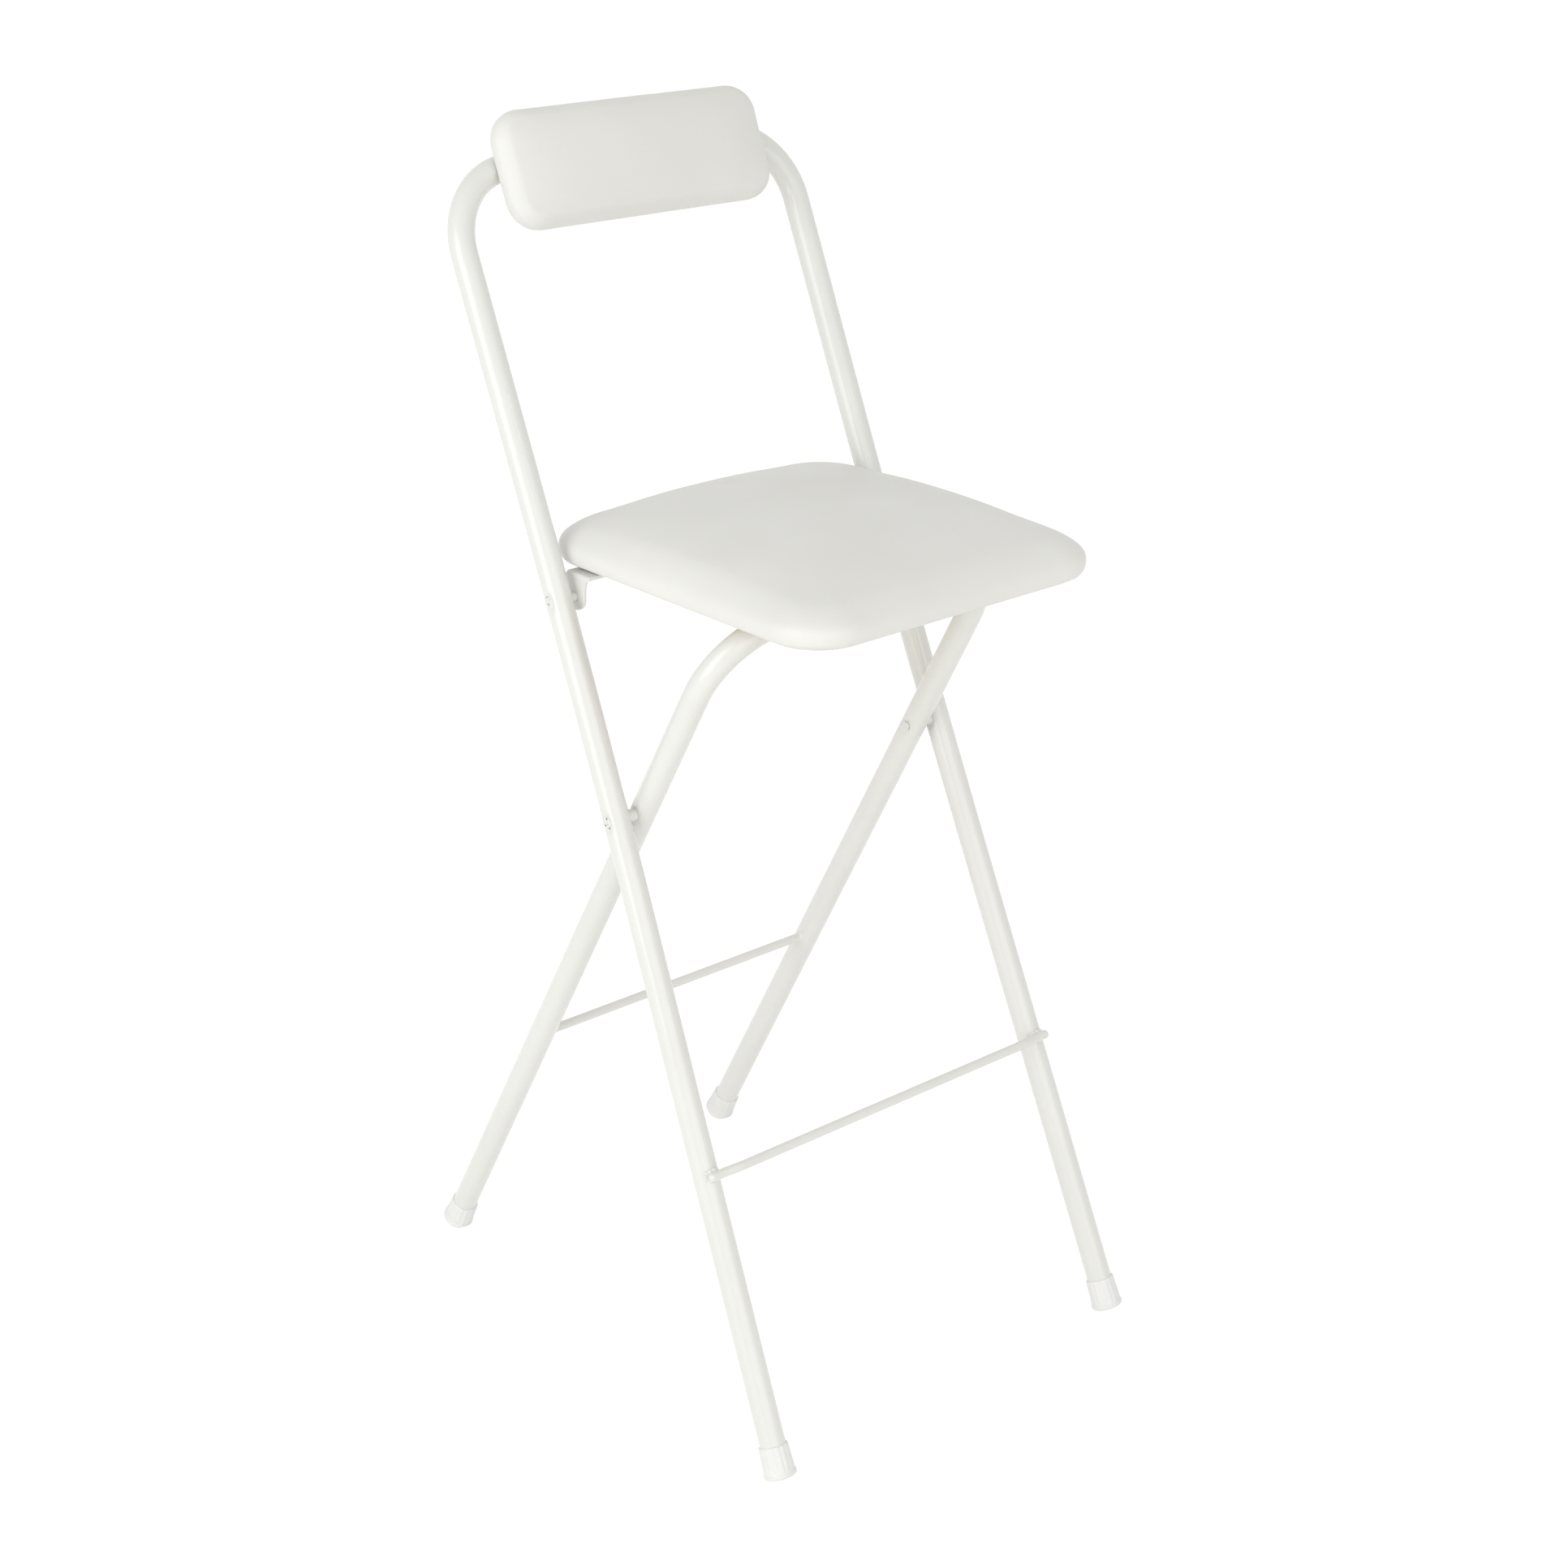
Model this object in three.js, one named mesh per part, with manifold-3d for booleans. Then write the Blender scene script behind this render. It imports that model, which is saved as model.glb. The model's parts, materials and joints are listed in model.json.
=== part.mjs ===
// Folding bar stool, in millimetres, +Z up, the sitter facing -Y, standing open on the floor.
// A front frame carries the back pad, a narrower rear frame crosses it as a scissor, and the seat
// is hinged to the front frame and rests on the top bar of the rear frame.
import * as THREE from 'three';
import { mergeVertices } from 'three/addons/utils/BufferGeometryUtils.js';
import Module from 'manifold-3d';

const wasm = await Module();
wasm.setup();

// Driving dimensions

// Tubes and rods
const tubeDiameter = 22;
const tubeWall = 1.2;
const barDiameter = 8;

// Front frame: heights are measured along its leaning plane, from the floor
const frontLean = THREE.MathUtils.degToRad(23.3);
const frontTopWidth = 348;
const frontFootWidth = 386;
const frontTopRise = 1084;
const frontBendRadius = 64;
const splayRise = 648;
const splayReach = 210;

// Rear frame: lengths are measured along its leaning plane, from the scissor pivot
const rearLean = THREE.MathUtils.degToRad(29.7);
const rearSplay = THREE.MathUtils.degToRad(1);
const rearBendRadius = 68;

// Scissor and hinge
const scissorHeight = 510;
const scissorGap = 5.4;
const seatPivotRise = 737;
const earGap = 4;
const pinDiameter = 6;
const pinHeadDiameter = 11;
const pinHeadHeight = 1.4;
const pinHeadRim = 0.5;
const pinTailDiameter = 9;
const pinTailHeight = 1.4;
const spacerDiameter = 12;

// Foot bars: the front one stands off the tubes and its ends turn back onto them
const footBarRise = 258;
const footBarStandOff = 3;
const footBarEndPast = 6;
const footBarSeat = 8;
const footBarTurn = 15;
const footBarBendReach = 5;
const rearBarDrop = 296;

// Foot caps
const capWall = 2;
const capFloor = 4.5;
const capLength = 27;
const capLip = 0.5;
const capLipHeight = 2;
const capEdgeRadius = 2.5;
const capFlatDepth = 1.2;

// Seat
const seatSideGap = 6;
const seatNose = 110.8;
const seatOverhang = 51;
const seatCornerRadius = 40;
const seatEdgeHeight = 30;
const seatCrown = 15;
const seatPivotDrop = 20.3;
const seatBoardThickness = 12;
const seatBoardInset = 9;

// Hinge bar under the seat
const hingeBarWidth = 30;
const hingeBarThickness = 2.8;
const hingeBendRadius = 5;
const earTipRadius = 10.5;
const earTipAhead = 2.5;
const hingeBarAhead = 4.5;
const earNeckRadius = 7;
const hingeScrewInset = 42;
const hingeScrewPitch = 16;

// Catch hooks under the seat, in front of the rear frame's top bar
const hookThickness = 2;
const hookWidth = 30;
const hookFlange = 18;
const hookLipAngle = THREE.MathUtils.degToRad(30);
const hookSpacing = 120;
const hookScrewPitch = 16;

// Back pad
const padWidth = 268;
const padHeight = 96;
const padDrop = 10.5;
const padCornerRadius = 23;
const padEdgeHeight = 23;
const padCrown = 6;
const padBoardThickness = 9;
const padBoardInset = 8;

// Screws
const screwDiameter = 4;
const screwHeadDiameter = 8;
const screwHeadHeight = 2.4;
const screwBite = 8;
const backScrewDiameter = 5;
const backScrewHeadDiameter = 10;
const backScrewHeadHeight = 3;
const backScrewBite = 6;
const backScrewSpacing = 150;

// Clearances, and the overrun that every cutting tool has past what it cuts
const fitGap = 0.3;
const pocketGap = 0.5;
const overrun = 5;

// Counts of facets
const roundSides = 24;
const smallSides = 16;
const bendSteps = 9;
const splaySteps = 5;
const barBendSteps = 2;
const domeSteps = 3;
const arcSteps = 6;
const earSteps = 8;
const cushionCornerSteps = 5;
const cushionSideSteps = 6;
const lowerEdgeSteps = 3;
const upperEdgeSteps = 4;

// Shares that shape the soft forms
const cornerPinchShare = 0.16;
const cornerPowerShare = 4;
const crownPowerShare = 2.1;
const crownRoundShare = 0.85;
const lowerEdgeShare = 0.22;
const upperEdgeShare = 0.7;
const waistShare = 0.035;
const topRingShares = [0.04, 0.12, 0.24, 0.4, 0.58, 0.78];

// Values worked out from the driving dimensions

const tubeRadius = tubeDiameter / 2;
const barRadius = barDiameter / 2;
const pinRadius = pinDiameter / 2;
const screwRadius = screwDiameter / 2;
const backScrewRadius = backScrewDiameter / 2;
const frontTopHalf = frontTopWidth / 2;
const frontFootHalf = frontFootWidth / 2;
const quarterTurn = Math.PI / 2;
const splayAngle = Math.atan((frontFootHalf - frontTopHalf) / splayRise);

// Distance of the front tube's axis from the middle, at a height along the front frame.
// The leg is straight below the soft bend, a parabola in it, and parallel to the middle above it.
function frontHalfAt(rise) {
  const lower = splayRise - splayReach;
  const slope = (frontFootHalf - frontTopHalf) / splayRise;
  if (rise <= lower) {
    return frontTopHalf + slope * (splayRise - rise);
  }
  const share = Math.min((rise - lower) / (splayReach + splayReach), 1);
  return frontTopHalf + slope * splayReach * (1 - share) ** 2;
}

const scissorRise = scissorHeight / Math.cos(frontLean);
const scissorY = scissorRise * Math.sin(frontLean);
const seatPivotY = seatPivotRise * Math.sin(frontLean);
const seatPivotZ = seatPivotRise * Math.cos(frontLean);
const rearHalfAtScissor = frontHalfAt(scissorRise) - tubeDiameter - scissorGap;

// The seat board lies on the rear frame's top bar, which sets how long the rear frame is
const boardUndersideZ = seatPivotZ + seatPivotDrop;
const topBarZ = boardUndersideZ - fitGap - tubeRadius;
const rearTopReach = (topBarZ - scissorHeight) / Math.cos(rearLean);
const topBarY = scissorY - rearTopReach * Math.sin(rearLean);
const rearFootReach = scissorHeight / Math.cos(rearLean);

// The seat reaches from behind the hinge to its nose, in front of the top bar it rests on
const seatDepth = seatOverhang + seatPivotY - topBarY + seatNose;
const padRise = frontTopRise - padDrop;

const seatHalfWidth = frontTopHalf - tubeRadius - seatSideGap;
const earOuterX = frontHalfAt(seatPivotRise) - tubeRadius - earGap;

function rearHalfAt(reach) {
  return rearHalfAtScissor - reach * Math.tan(rearSplay);
}

// Solids: a closed geometry becomes a solid to be joined or cut, and comes back as a geometry

function solidOf(geometry) {
  const bare = geometry.clone();
  bare.deleteAttribute('normal');
  bare.deleteAttribute('uv');
  const merged = mergeVertices(bare);
  return new wasm.Manifold(new wasm.Mesh({
    numProp: 3,
    vertProperties: merged.attributes.position.array,
    triVerts: new Uint32Array(merged.index.array),
  }));
}

function geometryOf(solid) {
  const mesh = solid.getMesh();
  const geometry = new THREE.BufferGeometry();
  geometry.setAttribute('position', new THREE.BufferAttribute(mesh.vertProperties, mesh.numProp));
  geometry.setIndex(new THREE.BufferAttribute(mesh.triVerts, 1));
  geometry.computeVertexNormals();
  return geometry;
}

function cut(geometry, ...tools) {
  let solid = solidOf(geometry);
  for (const tool of tools) {
    solid = solid.subtract(solidOf(tool));
  }
  return geometryOf(solid);
}

function join(first, second) {
  return geometryOf(solidOf(first).add(solidOf(second)));
}

function keepInside(first, second) {
  return geometryOf(solidOf(first).intersect(solidOf(second)));
}

// Cylinders that run along one axis, from one place on it to another

function rodAlongX(radius, fromX, toX, y, z, sides = smallSides) {
  const rod = new THREE.CylinderGeometry(radius, radius, toX - fromX, sides);
  rod.rotateZ(-quarterTurn);
  rod.translate((fromX + toX) / 2, y, z);
  return rod;
}

function rodAlongY(radius, fromY, toY, x, z, sides = smallSides) {
  const rod = new THREE.CylinderGeometry(radius, radius, toY - fromY, sides);
  rod.translate(x, (fromY + toY) / 2, z);
  return rod;
}

function rodAlongZ(radius, fromZ, toZ, x, y, sides = smallSides) {
  const rod = new THREE.CylinderGeometry(radius, radius, toZ - fromZ, sides);
  rod.rotateX(quarterTurn);
  rod.translate(x, y, (fromZ + toZ) / 2);
  return rod;
}

// A turned piece: its outline is a list of [radius, height] pairs that starts and ends on the axis
function turned(outline, sides = smallSides) {
  return new THREE.LatheGeometry(outline.map(([r, h]) => new THREE.Vector2(r, h)), sides);
}

// A dome's outline, from its pole at [0, height] to its rim at [radius, 0]
function domeOutline(radius, height) {
  const points = [];
  for (let step = 0; step <= domeSteps; step += 1) {
    const angle = quarterTurn * step / domeSteps;
    points.push([radius * Math.sin(angle), height * Math.cos(angle)]);
  }
  return points;
}

// A path of stretches, each with its own number of steps, so that long straights stay coarse
class BentPath extends THREE.Curve {
  constructor(stretches) {
    super();
    this.stretches = stretches;
    this.steps = stretches.reduce((sum, stretch) => sum + stretch.steps, 0);
  }

  getUtoTmapping(share) {
    return share;
  }

  locate(share) {
    let place = share * this.steps;
    for (const stretch of this.stretches) {
      if (place <= stretch.steps) {
        return [stretch.curve, place / stretch.steps];
      }
      place -= stretch.steps;
    }
    return [this.stretches.at(-1).curve, 1];
  }

  getPoint(share, target = new THREE.Vector3()) {
    const [curve, local] = this.locate(share);
    return curve.getPoint(local, target);
  }

  getTangent(share, target = new THREE.Vector3()) {
    const [curve, local] = this.locate(share);
    return curve.getTangent(local, target);
  }
}

// Straight stretches between points, with a round bend at each inner point.
// A bend is given by its reach, the length of tube that it takes on each side of the point.
function bentPath(points, bends) {
  const stretches = [];
  let from = points[0];
  bends.forEach((bend, i) => {
    const corner = points[i + 1];
    const inward = corner.clone().sub(points[i]).normalize();
    const outward = points[i + 2].clone().sub(corner).normalize();
    const turn = inward.angleTo(outward);
    const start = corner.clone().addScaledVector(inward, -bend.reach);
    const end = corner.clone().addScaledVector(outward, bend.reach);
    const radius = bend.reach / Math.tan(turn / 2);
    const handle = radius * Math.tan(turn / 4) * 4 / 3;
    stretches.push({ curve: new THREE.LineCurve3(from, start), steps: 1 });
    stretches.push({
      curve: new THREE.CubicBezierCurve3(
        start,
        start.clone().addScaledVector(inward, handle),
        end.clone().addScaledVector(outward, -handle),
        end,
      ),
      steps: bend.steps,
    });
    from = end;
  });
  stretches.push({ curve: new THREE.LineCurve3(from, points.at(-1)), steps: 1 });
  return new BentPath(stretches);
}

function tubeAlong(path, radius, boreRadius = 0, sides = roundSides) {
  const section = new THREE.Shape();
  section.absarc(0, 0, radius, 0, 2 * Math.PI);
  if (boreRadius > 0) {
    const bore = new THREE.Path();
    bore.absarc(0, 0, boreRadius, 0, 2 * Math.PI, true);
    section.holes.push(bore);
  }
  return new THREE.ExtrudeGeometry(section, {
    steps: path.steps,
    curveSegments: sides / 2,
    extrudePath: path,
  });
}

// Rounded rectangle round the origin, as a shape and as the points of its outline

function roundedRectangle(halfX, halfY, radius) {
  const shape = new THREE.Shape();
  shape.absarc(halfX - radius, halfY - radius, radius, 0, quarterTurn);
  shape.absarc(radius - halfX, halfY - radius, radius, quarterTurn, 2 * quarterTurn);
  shape.absarc(radius - halfX, radius - halfY, radius, 2 * quarterTurn, 3 * quarterTurn);
  shape.absarc(halfX - radius, radius - halfY, radius, 3 * quarterTurn, 4 * quarterTurn);
  shape.closePath();
  return shape;
}

function outlinePoints(halfX, halfY, radius, cornerSteps, sideSteps) {
  const points = [];
  for (let corner = 0; corner < 4; corner += 1) {
    const signX = corner === 0 || corner === 3 ? 1 : -1;
    const signY = corner < 2 ? 1 : -1;
    const centre = new THREE.Vector2(signX * (halfX - radius), signY * (halfY - radius));
    for (let step = 0; step <= cornerSteps; step += 1) {
      const angle = (corner + step / cornerSteps) * quarterTurn;
      points.push(new THREE.Vector2(Math.cos(angle), Math.sin(angle)).multiplyScalar(radius).add(centre));
    }
    const next = (corner + 1) % 4;
    const nextX = next === 0 || next === 3 ? 1 : -1;
    const nextY = next < 2 ? 1 : -1;
    const angle = (corner + 1) * quarterTurn;
    const end = new THREE.Vector2(Math.cos(angle), Math.sin(angle)).multiplyScalar(radius)
      .add(new THREE.Vector2(nextX * (halfX - radius), nextY * (halfY - radius)));
    const last = points.at(-1).clone();
    for (let step = 1; step < sideSteps; step += 1) {
      points.push(last.clone().lerp(end, step / sideSteps));
    }
  }
  return points;
}

// A cushion that is pulled over a board: its rim stands at height zero, the board lies in a pocket
// of the underside, the sides draw in a little, and the top is crowned and pinched at the corners.
function cushion(size) {
  const { halfX, halfY, radius, edge, crown, boardInset, boardThickness } = size;
  const pinch = edge * cornerPinchShare;
  const lowerRadius = edge * lowerEdgeShare;
  const upperRadius = edge * upperEdgeShare;
  const waist = edge * waistShare;
  const pocketInset = boardInset - pocketGap;
  const innerHalf = Math.min(halfX, halfY);
  const rings = [];

  const ring = (x, y, corner) => outlinePoints(x, y, corner, cushionCornerSteps, cushionSideSteps);

  const ringAt = (inset, height, crowned) => {
    const insetX = halfX - inset * halfX / innerHalf;
    const insetY = halfY - inset * halfY / innerHalf;
    const corner = Math.max(radius - inset, radius * (1 - inset / innerHalf) / 2);
    return ring(insetX, insetY, Math.min(corner, insetX, insetY)).map((p) => {
      const u = Math.abs(p.x / halfX);
      const v = Math.abs(p.y / halfY);
      const cornerShare = (u * v) ** cornerPowerShare;
      const dome = ((1 - u ** crownPowerShare) * (1 - v ** crownPowerShare)) ** crownRoundShare;
      const lift = crowned ? crown * dome - pinch * cornerShare : 0;
      return new THREE.Vector3(p.x, p.y, height + lift);
    });
  };

  const square = (inset, height) => ring(halfX - inset, halfY - inset, radius - inset)
    .map((p) => new THREE.Vector3(p.x, p.y, height));

  rings.push(square(pocketInset, boardThickness + pocketGap));
  rings.push(square(pocketInset, 0));
  for (let step = 0; step <= lowerEdgeSteps; step += 1) {
    const angle = quarterTurn * step / lowerEdgeSteps;
    const inset = lowerRadius * (1 - Math.sin(angle));
    rings.push(square(inset, lowerRadius * (1 - Math.cos(angle))));
  }
  rings.push(square(waist, (edge - upperRadius + lowerRadius) / 2));
  for (let step = 0; step <= upperEdgeSteps; step += 1) {
    const angle = quarterTurn * step / upperEdgeSteps;
    const inset = upperRadius * (1 - Math.cos(angle));
    const height = edge - upperRadius + upperRadius * Math.sin(angle);
    rings.push(ringAt(inset, height, step > 1));
  }
  for (const share of topRingShares) {
    const inset = upperRadius + (innerHalf - upperRadius) * share;
    rings.push(ringAt(inset, edge, true));
  }
  return closedLoft(rings);
}

// Rings of equal count joined in order, with a point at the middle of the first and the last ring
function closedLoft(rings) {
  const count = rings[0].length;
  const positions = rings.flat().flatMap((p) => [p.x, p.y, p.z]);
  const faces = [];
  for (let ring = 0; ring < rings.length - 1; ring += 1) {
    for (let i = 0; i < count; i += 1) {
      const a = ring * count + i;
      const b = ring * count + (i + 1) % count;
      faces.push(a, b, b + count, a, b + count, a + count);
    }
  }
  const ends = [[rings[0], 0, true], [rings.at(-1), (rings.length - 1) * count, false]];
  for (const [ring, start, reversed] of ends) {
    const middle = ring.reduce((sum, p) => sum.add(p), new THREE.Vector3()).divideScalar(count);
    const top = ring.reduce((most, p) => Math.max(most, p.z), ring[0].z);
    const hub = positions.length / 3;
    positions.push(middle.x, middle.y, top);
    for (let i = 0; i < count; i += 1) {
      const a = start + i;
      const b = start + (i + 1) % count;
      faces.push(...(reversed ? [hub, b, a] : [hub, a, b]));
    }
  }
  const geometry = new THREE.BufferGeometry();
  geometry.setAttribute('position', new THREE.Float32BufferAttribute(positions, 3));
  geometry.setIndex(faces);
  geometry.computeVertexNormals();
  return geometry;
}

// Materials

const paint = new THREE.MeshStandardMaterial({ color: 0xebebe6, roughness: 0.35, metalness: 0 });
const vinyl = new THREE.MeshStandardMaterial({ color: 0xe4e3dc, roughness: 0.55, metalness: 0 });
const plastic = new THREE.MeshStandardMaterial({ color: 0xf0f0ef, roughness: 0.5, metalness: 0 });
const board = new THREE.MeshStandardMaterial({ color: 0xc9ab7c, roughness: 0.8, metalness: 0 });
const steel = new THREE.MeshStandardMaterial({ color: 0xb9bbbd, roughness: 0.35, metalness: 1 });

function piece(name, geometry, material, parent) {
  const mesh = new THREE.Mesh(geometry, material);
  mesh.name = name;
  parent.add(mesh);
  return mesh;
}

const stool = new THREE.Group();

// Front frame: +Z of the group runs up along the leaning frame, -Y is the sitter's side
const frontFrame = new THREE.Group();
frontFrame.rotation.x = -frontLean;
stool.add(frontFrame);

// Rear frame: its group turns about the scissor pivot, and +Z runs up to the top bar
const rearFrame = new THREE.Group();
rearFrame.position.set(0, scissorY, scissorHeight);
rearFrame.rotation.x = rearLean;
stool.add(rearFrame);

// Seat: its group has its origin on the hinge axis
const seat = new THREE.Group();
seat.position.set(0, seatPivotY, seatPivotZ);
stool.add(seat);

// Where a cap's sole lies along a leg, so that the floor cuts a small flat from its round edge
const capRadius = tubeRadius + fitGap + capWall + capLip;
function soleRiseAt(lean) {
  const edgeCentre = (capRadius - capEdgeRadius) * Math.sin(lean);
  return (edgeCentre + capEdgeRadius - capFlatDepth) / Math.cos(lean) - capEdgeRadius;
}
const frontSole = soleRiseAt(frontLean);
const rearSole = soleRiseAt(rearLean);
const frontTubeEnd = frontSole + capFloor + fitGap;
const rearTubeEnd = rearSole + capFloor + fitGap - rearFootReach;

// Front frame tube
const flat = (x, z) => new THREE.Vector3(x, 0, z);
const frontPath = bentPath(
  [
    flat(frontHalfAt(frontTubeEnd), frontTubeEnd),
    flat(frontTopHalf, splayRise),
    flat(frontTopHalf, frontTopRise),
    flat(-frontTopHalf, frontTopRise),
    flat(-frontTopHalf, splayRise),
    flat(-frontHalfAt(frontTubeEnd), frontTubeEnd),
  ],
  [
    { reach: splayReach, steps: splaySteps },
    { reach: frontBendRadius, steps: bendSteps },
    { reach: frontBendRadius, steps: bendSteps },
    { reach: splayReach, steps: splaySteps },
  ],
);
const frontEnvelope = tubeAlong(frontPath, tubeRadius + fitGap);
const frontReach = frontFootHalf + tubeDiameter;
const backScrewX = backScrewSpacing / 2;
const frontTube = cut(
  tubeAlong(frontPath, tubeRadius, tubeRadius - tubeWall),
  rodAlongX(pinRadius + fitGap, -frontReach, frontReach, 0, scissorRise),
  rodAlongX(pinRadius + fitGap, -frontReach, frontReach, 0, seatPivotRise),
  rodAlongY(backScrewRadius + fitGap, -tubeDiameter, tubeDiameter, backScrewX, frontTopRise),
  rodAlongY(backScrewRadius + fitGap, -tubeDiameter, tubeDiameter, -backScrewX, frontTopRise),
);
piece('front_frame_tube', frontTube, paint, frontFrame);

// Front foot bar: a rod in front of the legs, its ends eased back until they lie on the tubes
const barAxisX = frontHalfAt(footBarRise);
const barSeatY = -(tubeRadius + fitGap + barRadius);
const barFrontY = barSeatY - footBarStandOff;
const barPoints = [
  new THREE.Vector3(barAxisX + footBarEndPast, barSeatY, footBarRise),
  new THREE.Vector3(barAxisX - footBarSeat, barSeatY, footBarRise),
  new THREE.Vector3(barAxisX - footBarSeat - footBarTurn, barFrontY, footBarRise),
];
const mirrored = (point) => new THREE.Vector3(-point.x, point.y, point.z);
const barBend = { reach: footBarBendReach, steps: barBendSteps };
const barPath = bentPath(
  [...barPoints, ...barPoints.map(mirrored).reverse()],
  [barBend, barBend, barBend, barBend],
);
piece('front_foot_bar', tubeAlong(barPath, barRadius, 0, smallSides), paint, frontFrame);

// Rear frame tube: straight legs that close in a little towards the top bar
const rearCorner = (side) => flat(side * rearHalfAt(rearTopReach), rearTopReach);
const rearFoot = (side) => flat(side * rearHalfAt(rearTubeEnd), rearTubeEnd);
const rearTurn = quarterTurn - rearSplay;
const rearBend = { reach: rearBendRadius * Math.tan(rearTurn / 2), steps: bendSteps };
const rearPath = bentPath([rearFoot(1), rearCorner(1), rearCorner(-1), rearFoot(-1)], [rearBend, rearBend]);
const rearEnvelope = tubeAlong(rearPath, tubeRadius + fitGap);
const rearReach = rearHalfAtScissor + tubeDiameter;
const rearTube = cut(
  tubeAlong(rearPath, tubeRadius, tubeRadius - tubeWall),
  rodAlongX(pinRadius + fitGap, -rearReach, rearReach, 0, 0),
);
piece('rear_frame_tube', rearTube, paint, rearFrame);

// Rear stretcher bar: a straight rod coped onto the inner sides of the rear legs
const stretcherHalf = rearHalfAt(-rearBarDrop);
const stretcher = cut(
  rodAlongX(barRadius, -stretcherHalf, stretcherHalf, 0, -rearBarDrop),
  rearEnvelope,
);
piece('rear_stretcher_bar', stretcher, paint, rearFrame);

// Foot caps: a cup round the tube's end, with a lip at the sole, cut flat by the floor
function footCap(name, parent, x, rise, splay) {
  const sleeve = tubeRadius + fitGap + capWall;
  const cup = turned([
    [0, 0],
    ...domeOutline(capEdgeRadius, capEdgeRadius)
      .map(([r, h]) => [capRadius - capEdgeRadius + r, capEdgeRadius - h]),
    [capRadius, capEdgeRadius + capLipHeight],
    [sleeve, capEdgeRadius + capLipHeight + capLip],
    [sleeve, capLength - capWall / 2],
    [sleeve - capWall / 2, capLength],
    [tubeRadius + fitGap, capLength],
    [tubeRadius + fitGap, capFloor],
    [0, capFloor],
  ], roundSides);
  cup.rotateX(quarterTurn);
  const mesh = piece(name, cup, plastic, parent);
  mesh.position.set(x, 0, rise);
  mesh.rotation.y = splay;
  mesh.updateWorldMatrix(true, false);
  const floorReach = capLength + tubeDiameter;
  const floor = new THREE.BoxGeometry(floorReach, floorReach, floorReach);
  const middle = new THREE.Vector3().setFromMatrixPosition(mesh.matrixWorld);
  floor.translate(middle.x, middle.y, -floorReach / 2);
  floor.applyMatrix4(mesh.matrixWorld.clone().invert());
  mesh.geometry = cut(cup, floor);
}

for (const [side, sign] of [['left', -1], ['right', 1]]) {
  const frontX = sign * frontHalfAt(frontSole);
  footCap(`front_foot_cap_${side}`, frontFrame, frontX, frontSole, -sign * splayAngle);
  const rearRise = rearSole - rearFootReach;
  footCap(`rear_foot_cap_${side}`, rearFrame, sign * rearHalfAt(rearRise), rearRise, -sign * rearSplay);
}

// Rivets: a domed head formed onto the outside of the front tube, a shank, and a flat tail.
// Each lies along X in the front frame's group, and sign is the side that it is on.
function rivet(name, sign, rise, tailX) {
  const axisX = frontHalfAt(rise);
  const headRadius = pinHeadDiameter / 2;
  const headTop = tubeRadius + fitGap + pinHeadHeight;
  const rimTop = tubeRadius + fitGap + pinHeadRim;
  const dome = domeOutline(headRadius, headTop - rimTop).map(([r, h]) => [r, rimTop + h]);
  const head = turned([[0, 0], [headRadius, 0], ...dome.reverse()]);
  head.rotateZ(-quarterTurn);
  head.translate(axisX, 0, rise);
  const formed = cut(head, frontEnvelope);
  const shank = rodAlongX(pinRadius, tailX, axisX + rimTop, 0, rise);
  const tail = rodAlongX(pinTailDiameter / 2, tailX - pinTailHeight, tailX, 0, rise);
  const whole = join(join(shank, tail), outerShell(formed, axisX));
  if (sign < 0) {
    whole.rotateZ(2 * quarterTurn);
  }
  piece(name, whole, steel, frontFrame);
}

// The envelope leaves a plug of the head inside the tube: only what lies outside the axis is kept
function outerShell(geometry, axisX) {
  const keep = new THREE.BoxGeometry(tubeDiameter, 2 * tubeDiameter, frontTopRise * 2);
  keep.translate(axisX + tubeRadius + tubeDiameter / 2 - pinHeadDiameter / 2, 0, 0);
  return keepInside(geometry, keep);
}

// Spacers: a sleeve round the rivet, coped onto the front tube and square where the moving part is
function spacer(name, sign, rise, innerX) {
  const axisX = frontHalfAt(rise);
  const sleeve = cut(
    rodAlongX(spacerDiameter / 2, innerX + fitGap, axisX, 0, rise),
    rodAlongX(pinRadius + fitGap, innerX - overrun, axisX + overrun, 0, rise),
    frontEnvelope,
  );
  if (sign < 0) {
    sleeve.rotateZ(2 * quarterTurn);
  }
  piece(name, sleeve, paint, frontFrame);
}

const rearOuterX = rearHalfAtScissor + tubeRadius;
const rearInnerX = rearHalfAtScissor - tubeRadius - fitGap;
const earInnerX = earOuterX - hingeBarThickness - fitGap;
for (const [side, sign] of [['left', -1], ['right', 1]]) {
  rivet(`scissor_rivet_${side}`, sign, scissorRise, rearInnerX);
  spacer(`scissor_spacer_${side}`, sign, scissorRise, rearOuterX);
  rivet(`seat_rivet_${side}`, sign, seatPivotRise, earInnerX);
  spacer(`seat_spacer_${side}`, sign, seatPivotRise, earOuterX);
}

// Seat board and cushion, centred on the seat's middle
const seatMiddleY = seatOverhang - seatDepth / 2;
const seatHalfDepth = seatDepth / 2;
const hingeBarY = -hingeBarAhead;
const hookBarY = topBarY - seatPivotY;
const hingeScrewX = earOuterX - hingeScrewInset;

function screwHole(x, y) {
  return rodAlongZ(screwRadius + fitGap, -overrun, screwBite + fitGap, x, y);
}

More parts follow.
